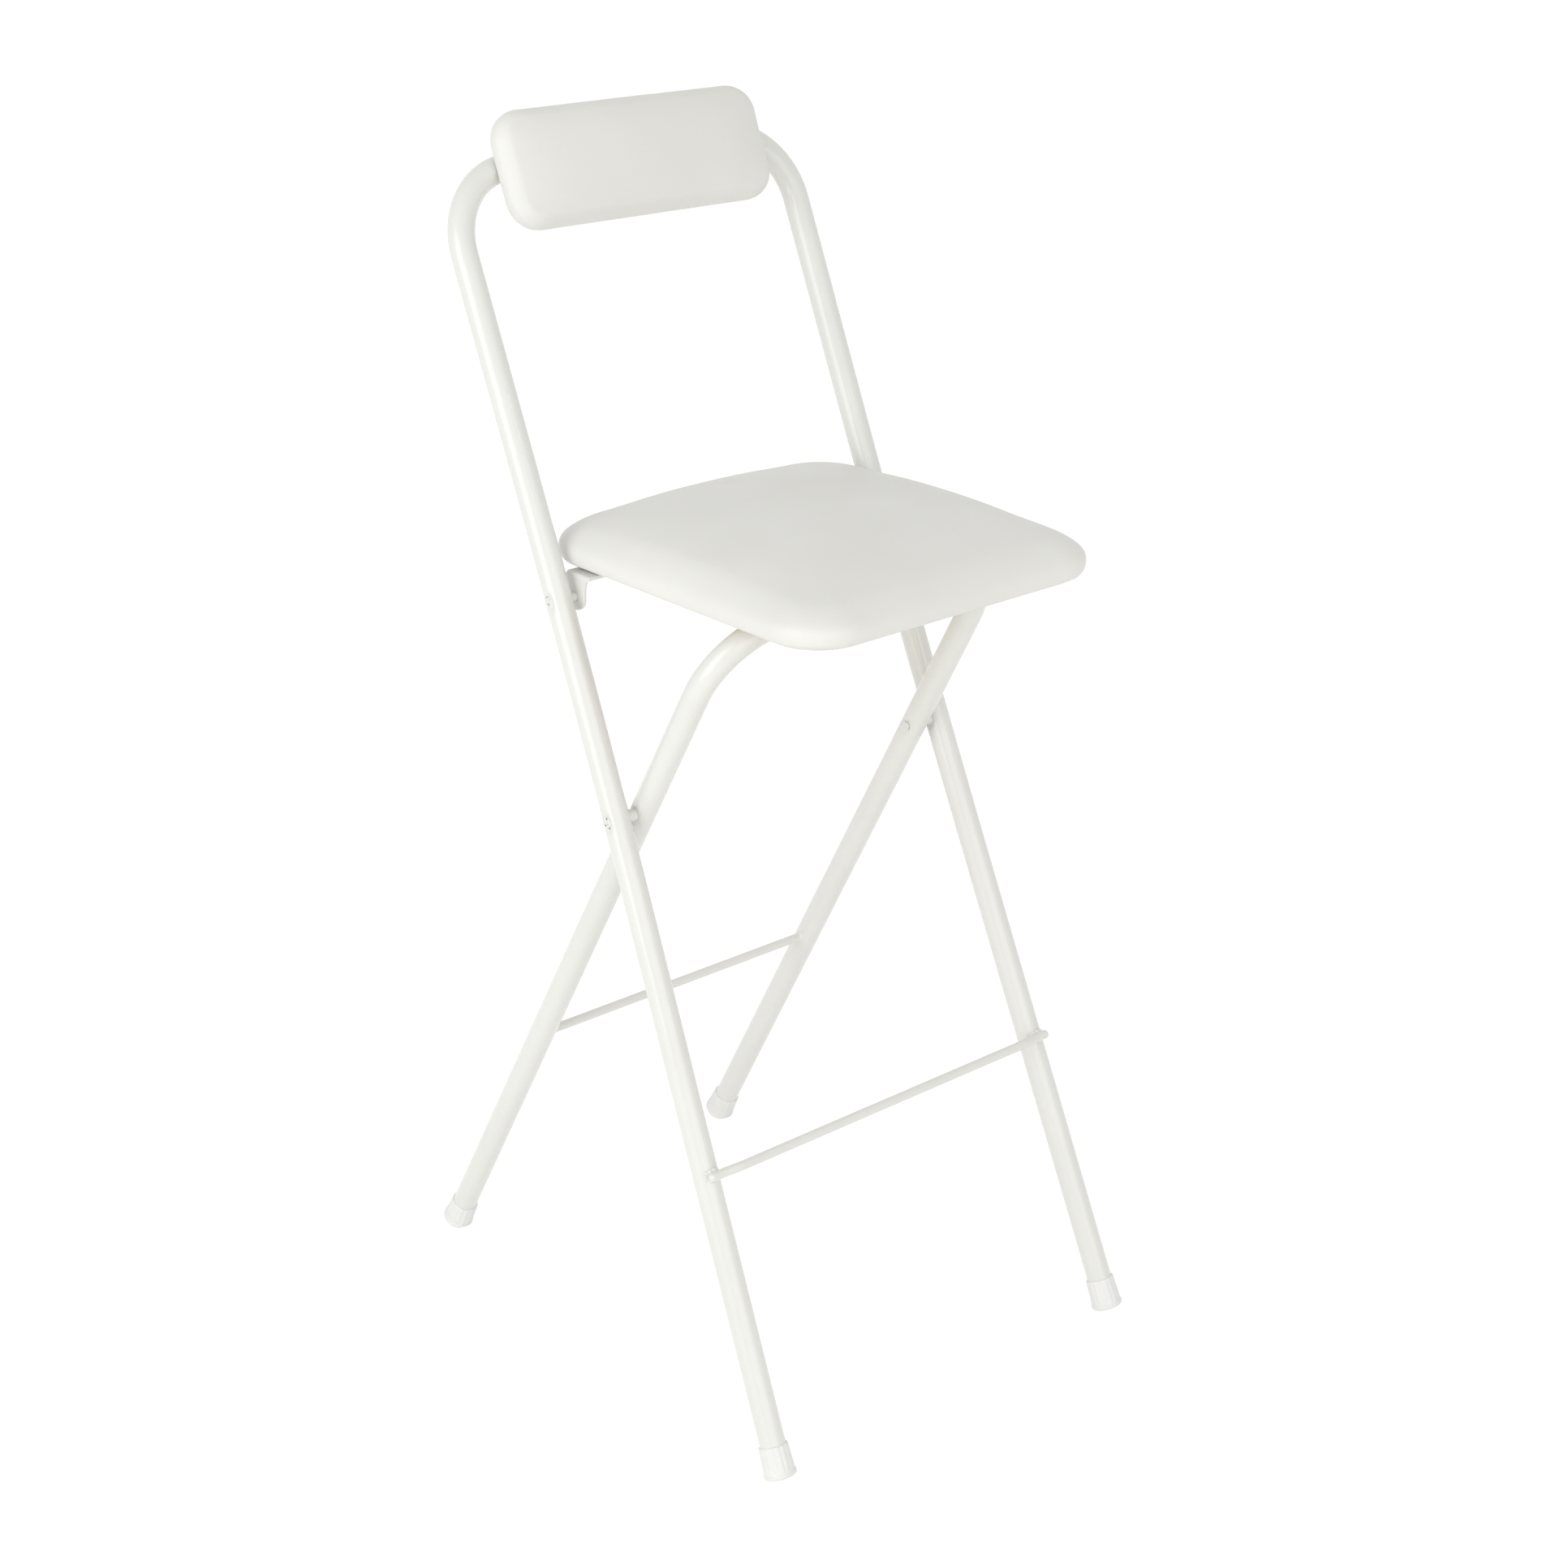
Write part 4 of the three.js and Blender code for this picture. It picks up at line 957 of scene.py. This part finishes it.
for side, sign in SIDES:
    rings = hook_rings(sign * HOOK_SPACING / 2)
    add_piece(f"catch_hook_{side}_plated", rings, "seat", "steel", f"catch_hook_{side}", sharp=35)

# %% [markdown]
# The screws have a round head with a cross for the driver. The head is a dome on a fine polar
# grid, and each arm of the cross is a smooth valley: a point sinks by how deep it lies inside
# either arm. Head and shank are one closed surface.

# %% Screws
CROSS_DEPTH = 1.3 * MM
CROSS_HALF = 0.55 * MM
CROSS_SHARE = 0.42
BACK_SCREW_X = 75 * MM
SCREW_TURN = 0.7
# Head radius, head height and shank radius, under the seat and at the back.
SEAT_SCREW = (4 * MM, 2.4 * MM, 2 * MM)
BACK_SCREW = (5 * MM, 3 * MM, 2.5 * MM)


def screw_rings(head_radius, head_height, shank_radius, length):
    """Head h(r) = H sqrt(1 - (r/R)^2), less the cross: depth x soft step across each arm, and
    tapering towards its end. Below the head a shank with a pointed end."""
    a = np.linspace(0.02, 1, 22) * np.pi / 2
    angle = circle_angles(64)
    dome = np.stack([head_radius * np.sin(a), head_height * np.cos(a)], -1)
    x, y, h = apart(turned(dome, angle))
    in_arm = np.clip(1.5 - np.minimum(np.abs(x), np.abs(y)) / CROSS_HALF, 0, 1)
    reach = np.clip(1.6 - dome[:, :1] / (head_radius * CROSS_SHARE), 0, 1)
    shank = np.array([
        (shank_radius, -0.02 * MM), (shank_radius, -length + 2 * shank_radius), (0.3 * MM, -length),
    ])
    head = xyz(x, y, h - CROSS_DEPTH * soft_step(in_arm) * reach)
    return np.concatenate([head, turned(shank, angle)])


def node_middle(node):
    """Middle of a node's box."""
    return np.mean(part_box(node), axis=0)


def head_down(points, x, y, z, turn):
    """Puts a screw with its head downwards at a point, turned by an angle about its own axis."""
    px, py, pz = apart(points)
    s, c = math.sin(turn), math.cos(turn)
    return xyz(x + px * c - py * s, y - px * s - py * c, z - pz)


seat_screws = [node for node in frame["nodes"] if node.startswith(("hinge_screw", "catch_screw"))]
for index, node in enumerate(sorted(seat_screws)):
    x, y, _ = node_middle(node)
    sheet = EAR_THICKNESS if node.startswith("hinge") else HOOK_THICKNESS
    rings = screw_rings(*SEAT_SCREW, sheet + 8 * MM)
    rings = head_down(rings, x, y, board_under - 2 * FIT_GAP - sheet, SCREW_TURN * index)
    add_piece(f"{node}_crossed", rings, "seat", "steel", node, sharp=50)

px, py, pz = apart(screw_rings(*BACK_SCREW, 28 * MM))
for side, sign in SIDES:
    rings = front_place(xyz(sign * BACK_SCREW_X + px, TUBE_RADIUS + FIT_GAP + pz, FRONT_TOP_RISE + py))
    add_piece(
        f"back_screw_{side}_crossed", rings, "front_frame", "steel", f"back_screw_{side}", sharp=50,
    )

# %% [markdown]
# Both cushions are built the same way. A board is cut to a rounded rectangle, foam is laid on it,
# and vinyl is pulled over and stapled underneath. So one set of helpers makes both, measured
# from the board's underside: x and y across the board, z into the cushion. The outline is a
# function of one parameter, so that a whole stack of outlines is one array.

# %% Rounded rectangles
RING_STEP = 24
RING_COUNT = 8 * RING_STEP
ring_tau = np.arange(RING_COUNT) / RING_COUNT


def outline_at(tau, half_x, half_y, radius):
    """Point of a rounded rectangle at tau from 0 to 1, counted from the middle of the +X side. Each
    eighth is a straight piece and half a corner's arc, run through evenly by length. Everything
    is worked out for the first quarter, and the other quarters are its mirror images."""
    tau = np.mod(tau, 1)
    quarter_number = np.minimum(np.floor(4 * tau), 3)
    t = 4 * tau - quarter_number
    t = np.where(quarter_number % 2 == 1, 1 - t, t)
    first = t < 0.5
    straight = np.where(first, half_y, half_x) - radius
    run = 2 * np.where(first, t, 1 - t) * (straight + radius * np.pi / 4)
    a = np.maximum(run - straight, 0) / np.maximum(radius, 1e-9)
    near = np.where(run < straight, run, straight + radius * np.sin(a))
    far = np.where(first, half_x, half_y) - radius * (1 - np.cos(a))
    x, y = np.where(first, far, near), np.where(first, near, far)
    sign_x = np.where((quarter_number == 1) | (quarter_number == 2), -1, 1)
    return x * sign_x, y * np.where(quarter_number >= 2, -1, 1)


def stacked_outlines(size, inset, least_radius, height):
    """Rings from one inset and one height per ring: grid[ring, column, xyz]."""
    corner = np.maximum(size["radius"] - inset, least_radius)
    half_x, half_y, corner, height = (
        np.asarray(v, float)[:, None]
        for v in (size["half_x"] - inset, size["half_y"] - inset, corner, height)
    )
    return xyz(*outline_at(ring_tau, half_x, half_y, corner), height)


print("corner of a unit outline:", np.round(outline_at(0.125, 1, 1, 0.2), 3))

# %% Boards
# Half sizes, corner radius, height of the rim, crown over it, width of the roll, height of the
# widest line, how far the edge tucks in, how high it stands off, how much the corners drop, how
# far the seat stands forward, board, hem, and the cap and the room for the swelling; all in mm.
CUSHIONS_MM = {
    "seat": dict(
        half_x=162.2, half_y=174.6, radius=52, edge=27.8, crown=21, roll_in=24, waist=13.5, tuck_in=7,
        lift=4, corner_drop=8.5, ahead=1.5, board=12, board_inset=12.5, hem=30, cap=3, room=1.5,
    ),
    "back": dict(
        half_x=134, half_y=49.9, radius=27, edge=19.8, crown=12.6, roll_in=9, waist=10, tuck_in=4.5,
        lift=0.8, corner_drop=1, ahead=0, board=9, board_inset=8, hem=21, cap=1.6, room=0.8,
    ),
}
CUSHIONS = {name: {key: v * MM for key, v in row.items()} for name, row in CUSHIONS_MM.items()}
HEM = 0.9 * MM
PAD_DROP = 10.5 * MM
PAD_TURN = math.radians(-0.85)
seat_middle_y = node_middle("seat_cushion")[1] - CUSHIONS["seat"]["ahead"]


def seat_cushion_place(points):
    """Puts the seat cushion's own points on the seat."""
    return np.asarray(points) + (0, seat_middle_y, board_under)


def back_cushion_place(points):
    """Puts the back pad's own points in front of the top bar, z towards the sitter, turned a
    little in its own plane: x' = x cos t - y sin t, y' = x sin t + y cos t."""
    x, y, z = apart(points)
    s, c = math.sin(PAD_TURN), math.cos(PAD_TURN)
    across, up = x * c - y * s, x * s + y * c
    return front_place(xyz(across, -TUBE_RADIUS - FIT_GAP - z, FRONT_TOP_RISE - PAD_DROP + up))


# For each cushion: its body, its node and its place.
RIDES = {
    "seat": ("seat", "seat_cushion", seat_cushion_place),
    "back": ("front_frame", "back_pad", back_cushion_place),
}


def board_grid(size):
    """A slab with edges rounded over a third of a millimetre, its underside just above the hem."""
    inset = size["board_inset"] + np.array([60, 20, 1, 0.3, 0, 0, 0.3, 1, 20, 60]) * (MM / 3)
    low, top = HEM + 0.1 * MM, size["board"]
    edge = np.array([0, 0, 0, 0.1, 0.4]) * MM
    return stacked_outlines(size, inset, 4 * MM, np.concatenate([low + edge, top - edge[::-1]]))


for name, (body, _, place) in RIDES.items():
    rings = place(board_grid(CUSHIONS[name]))
    add_piece(f"{name}_board_plywood", rings, body, "board", f"{name}_board", sharp=40)

# %% [markdown]
# The cover starts as its own taut shape. The top is a square patch of even cells, pushed into a
# rounded rectangle ring by ring. From its edge rings run on: over one wide roll, down to the
# bottom edge, round under the board as the folded hem, back over the hem, and up the walls of the
# pocket that the board lies in. That makes one closed skin, with no poles on the side that shows.

# %% Cushion covers
ROLL_RINGS = 12
TUCK_RINGS = 7


def crowned(x, y, size, height, share):
    """Height + share (crown ((1 - |u|^2.2) (1 - |v|^2.2))^0.7 - drop (u v)^4), u and v being
    shares of the half sizes."""
    u, v = np.abs(x) / size["half_x"], np.abs(y) / size["half_y"]
    dome = (np.maximum(1 - u ** 2.2, 0) * np.maximum(1 - v ** 2.2, 0)) ** 0.7
    return height + share * (size["crown"] * dome - size["corner_drop"] * (u * v) ** 4)


def top_patch(size):
    """A square grid: point (i, j) lies on ring m = max(|i|, |j|), at tau = q / 8m along it."""
    i, j = np.mgrid[-RING_STEP:RING_STEP + 1, -RING_STEP:RING_STEP + 1]
    m = np.maximum(np.abs(i), np.abs(j))
    q = np.select(
        [(i == m) & (j >= 0), j == m, i == -m, j == -m],
        [j, 2 * m - i, 4 * m - j, 6 * m + i], 8 * m + j,
    )
    share = m / RING_STEP
    inset = size["roll_in"] + size["room"]
    x, y = outline_at(
        q / np.maximum(8 * m, 1), share * (size["half_x"] - inset), share * (size["half_y"] - inset),
        share ** 1.5 * (size["radius"] - inset),
    )
    x, y = np.where(m == 0, 0, x), np.where(m == 0, 0, y)
    edge = np.full(RING_COUNT, 0)
    on_edge = m == RING_STEP
    edge[np.mod(q[on_edge], RING_COUNT)] = np.flatnonzero(on_edge.ravel())
    return xyz(x, y, crowned(x, y, size, size["edge"] - size["room"] / 2, 1)), edge


def side_rings(size):
    """Insets, heights and shares of the crown, from the rim to the waist and on to the bottom edge:
    inset = roll (1 - cos a)^1.1, height = waist + (rim - waist) sin^0.95 a, crown's share sin^2 a,
    then inset = tuck (1 - cos b), height = lift + (waist - lift) (1 - sin b)."""
    a = np.linspace(np.pi / 2, 0, ROLL_RINGS + 1)[1:]
    b = np.linspace(0, np.pi / 2, TUCK_RINGS + 1)[1:]
    room, waist, lift = size["room"], size["waist"], size["lift"]
    rim = size["edge"] - room / 2
    roll = np.stack([
        room + size["roll_in"] * (1 - np.cos(a)) ** 1.1, waist + (rim - waist) * np.sin(a) ** 0.95,
        np.sin(a) ** 2,
    ])
    tuck = np.stack([
        room * np.cos(b) + size["tuck_in"] * (1 - np.cos(b)), lift + (waist - lift) * (1 - np.sin(b)),
        0 * b,
    ])
    return np.concatenate([roll, tuck], 1)


def hem_rings(size):
    """Insets, heights and no crown: under the board, over the hem's edge, back out, up the pocket."""
    start, hem, lift = size["tuck_in"] / MM, size["hem"] / MM, size["lift"] / MM
    pocket, ceiling = size["board_inset"] / MM - 0.5, size["board"] / MM + 0.5
    steps = [
        (start + 1.5, lift * 0.85), (start + 5, lift * 0.45), (start + 10, lift * 0.1), (hem - 5, 0),
        (hem - 2, 0), (hem, 0.05), (hem + 0.3, 0.45), (hem, 0.85), (hem - 3, 0.9), (pocket + 4, 0.9),
        (pocket + 0.3, 0.9), (pocket, 1.2), (pocket, ceiling - 0.4), (pocket + 0.5, ceiling),
        (pocket + 12, ceiling), (pocket + 26, ceiling),
    ]
    return np.concatenate([np.array(steps).T * MM, np.zeros((1, len(steps)))])


def cover_mesh(name, size):
    """The patch, the side rings and the hem rings in one skin, and a table of the rings' corners."""
    patch, edge = top_patch(size)
    inset, height, share = np.concatenate([side_rings(size), hem_rings(size)], 1)
    rings = stacked_outlines(size, inset, 5 * MM, height)
    rings[..., 2] = crowned(rings[..., 0], rings[..., 1], size, rings[..., 2], share[:, None])
    corners = np.concatenate([patch.reshape(-1, 3), rings.reshape(-1, 3), rings[-1:].mean(1)])
    n = 2 * RING_STEP + 1
    cell = np.arange(n * n).reshape(n, n)
    cells = [cell[:-1, :-1], cell[1:, :-1], cell[1:, 1:], cell[:-1, 1:]]
    faces = np.stack(cells, -1).reshape(-1, 4).tolist()
    below = n * n + np.arange(len(rings) * RING_COUNT).reshape(-1, RING_COUNT)
    levels = np.concatenate([edge[None], below])
    ahead = np.roll(levels, -1, axis=1)
    faces += np.stack([levels[:-1], levels[1:], ahead[1:], ahead[:-1]], -1).reshape(-1, 4).tolist()
    hub = np.full(RING_COUNT, len(corners) - 1)
    faces += np.stack([levels[-1], hub, ahead[-1]], -1).tolist()
    print(name, "volume in litres:", round(part_volume(corners, faces) * 1000, 3))
    return make_piece(name, [(corners, faces)]), levels


covers = {name: cover_mesh(f"{name}_cushion_vinyl", size) for name, size in CUSHIONS.items()}

# %% [markdown]
# Foam under vinyl is a skin blown up from inside. Blender's cloth does just that, with pressure
# and no gravity, while the points from the bottom edge on are held as the staples hold them.
# After twenty frames each point's travel is capped smoothly: a long step is shortened to the cap,
# a short one is left as it is. Then the travel is evened out, and gathers are added at the
# corners, as numbers.

# %% Blowing up a cushion
CLOTH_FRAMES = 20
CLOTH_PRESSURE = 4
CLOTH_QUALITY = 6
HELD_FROM = ROLL_RINGS + TUCK_RINGS - 1
EVENING_ROUNDS = 60
FOLDS_KEPT = 0.12


def coordinates(mesh):
    """All corner places of a mesh as an array."""
    flat = np.empty(len(mesh.vertices) * 3, np.float32)
    mesh.vertices.foreach_get("co", flat)
    return flat.reshape(-1, 3).astype(float)


def set_coordinates(mesh, places):
    """Writes corner places back into a mesh."""
    mesh.vertices.foreach_set("co", np.asarray(places, np.float32).ravel())
    mesh.update()


def bake_modifiers(piece):
    """Replaces the piece's mesh by what its modifiers make of it."""
    graph = bpy.context.evaluated_depsgraph_get()
    baked = bpy.data.meshes.new_from_object(piece.evaluated_get(graph))
    piece.modifiers.clear()
    piece.data = baked


def evened(mesh, travel):
    """Travel averaged with its neighbours' over the mesh's edges, again and again: the swelling
    stays and the puckers go, but for a small share of them."""
    ends = np.empty(len(mesh.edges) * 2, np.int32)
    mesh.edges.foreach_get("vertices", ends)
    one, other = ends.reshape(-1, 2).T
    count = np.bincount(ends, minlength=len(travel))[:, None]
    soft, size = travel, len(travel)
    for _ in range(EVENING_ROUNDS):
        total = xyz(*(
            np.bincount(one, soft[other, k], size) + np.bincount(other, soft[one, k], size)
            for k in range(3)
        ))
        soft = (soft + total / count) / 2
    return soft + FOLDS_KEPT * (travel - soft)


def blow_up(piece, levels, cap):
    """Cloth with pressure, the levels below the edge held; travel d capped as cap tanh(d / cap)."""
    before = coordinates(piece.data)
    held = piece.vertex_groups.new(name="held")
    held.add(levels[HELD_FROM:].ravel().tolist() + [len(before) - 1], 1, "REPLACE")
    cloth = piece.modifiers.new("vinyl", "CLOTH")
    cloth.settings.vertex_group_mass = "held"
    cloth.settings.use_pressure = True
    cloth.settings.uniform_pressure_force = CLOTH_PRESSURE
    cloth.settings.effector_weights.gravity = 0
    cloth.settings.quality = CLOTH_QUALITY
    cloth.point_cache.frame_start = 1
    cloth.point_cache.frame_end = CLOTH_FRAMES
    for moment in range(1, CLOTH_FRAMES + 1):
        bpy.context.scene.frame_set(moment)
    bake_modifiers(piece)
    bpy.context.scene.frame_set(1)
    travel = coordinates(piece.data) - before
    length = np.linalg.norm(travel, axis=1, keepdims=True)
    travel = evened(piece.data, travel * cap * np.tanh(length / cap) / np.maximum(length, 1e-9))
    travel[levels[HELD_FROM + 1:].ravel()] = 0
    travel[-1] = 0
    set_coordinates(piece.data, before + travel)
    largest, mean = (round(float(v / MM), 1) for v in (length.max(), length.mean()))
    print(piece.name, "travel: largest", largest, "mm, mean", mean, "mm")


print("cloth helper ready")

# %% Cushions
PLEATS = 11
PLEAT_DEPTH = 0.55 * MM
PLEAT_FADE = 5 * MM
UNDERSIDE = 0.3 * MM


def gather(places, size):
    """Gathers at the corners: a rectified sine round the outline, strongest at the bottom edge,
    faded out as e^-(z/fade)^2 above it, and half as deep under the board."""
    tau = np.arctan2(places[:, 1] / size["half_y"], places[:, 0] / size["half_x"])
    z = places[:, 2]
    fade = np.abs(np.sin(2 * tau)) ** 10 * np.exp(-(z / PLEAT_FADE) ** 2)
    wave = fade * PLEAT_DEPTH * (np.abs(np.sin(PLEATS * 4 * tau)) - 0.5)
    grown = 1 + wave / (np.hypot(places[:, 0], places[:, 1]) + 1e-9) * (z > UNDERSIDE)
    lifted = np.where(np.abs(z) < UNDERSIDE, np.maximum(wave, 0) * 0.5, 0)
    return xyz(places[:, 0] * grown, places[:, 1] * grown, z + lifted)


for name, (piece, levels) in covers.items():
    size, (body, node, place) = CUSHIONS[name], RIDES[name]
    blow_up(piece, levels, size["cap"])
    finer = piece.modifiers.new("finer", "SUBSURF")
    finer.levels = finer.render_levels = 1
    bake_modifiers(piece)
    places = gather(coordinates(piece.data), size)
    print(name, "own size in mm:", (np.ptp(places, axis=0) / MM).round(1))
    set_coordinates(piece.data, place(places))
    piece.data.shade_smooth()
    dress(piece, body, "vinyl", node)

# %% [markdown]
# The staples that hold the hem are short wires with both ends turned down into the wood. They
# were shot by hand, so each is turned a little off the direction of the edge.

# %% Staples
STAPLE_HALF = 5 * MM
STAPLE_WIRE = 0.45 * MM
# For each cushion: the count of staples and their inset from the edge.
STAPLES = {"seat": (44, 26 * MM), "back": (26, 15 * MM)}
STAPLE_SWAY = 0.25
HINGE_BAR_ROOM = 24 * MM


def staple(x, y, turn):
    """A flat wire that stands out of the hem by 0.35 wire (1 - 2.2 t^6), so its ends dip into it."""
    t = np.linspace(-1, 1, 13)[:, None]
    angle = (np.arange(6) + 0.5) * np.pi / 3
    along, side = STAPLE_HALF * t, 1.3 * STAPLE_WIRE * np.cos(angle)
    drop = STAPLE_WIRE * (0.4 * np.sin(angle) - 0.35 * (1 - 2.2 * t ** 6))
    s, c = math.sin(turn), math.cos(turn)
    return xyz(x + along * c - side * s, y + along * s + side * c, drop)


def staple_places(size, count, inset):
    """Evenly spaced places round the hem, each with the direction of the edge there and a small
    turn off it that differs from staple to staple."""
    halves = size["half_x"] - inset, size["half_y"] - inset
    closed = xyz(*outline_at(np.linspace(0, 1, 400), *halves, size["radius"]), 0)
    number = np.arange(count)
    at = (number + 0.5) / count * run_along(closed)[-1]
    x, y, _ = at_length(closed, at).T
    ahead_x, ahead_y, _ = at_length(closed, at + MM).T
    turn = np.arctan2(ahead_y - y, ahead_x - x) + STAPLE_SWAY * np.sin(number * 2.4)
    return zip(x, y, turn)


def is_free(name, y):
    """False where the hinge bar lies over the hem."""
    return name == "back" or abs(y + seat_middle_y - hinge[1] + BAR_AHEAD) > HINGE_BAR_ROOM


for name, (body, _, place) in RIDES.items():
    places = staple_places(CUSHIONS[name], *STAPLES[name])
    wires = [place(staple(x, y, turn)) for x, y, turn in places if is_free(name, y)]
    add_piece(f"{name}_staples", wires, body, "steel")

# %% [markdown]
# Every node of the frame that is still to be seen gets the finish of its slot. By now each one
# has a piece that stands for it, so this only matters if a piece is left out while trying things.

# %% Finishes for the frame's own nodes
for row in frame["record"]["subparts"]:
    node = frame["nodes"][row["node"]]
    node.data.materials.clear()
    node.data.materials.append(SLOT_FINISH[row["material_slot"]])
print("nodes with a finish:", len(frame["nodes"]))
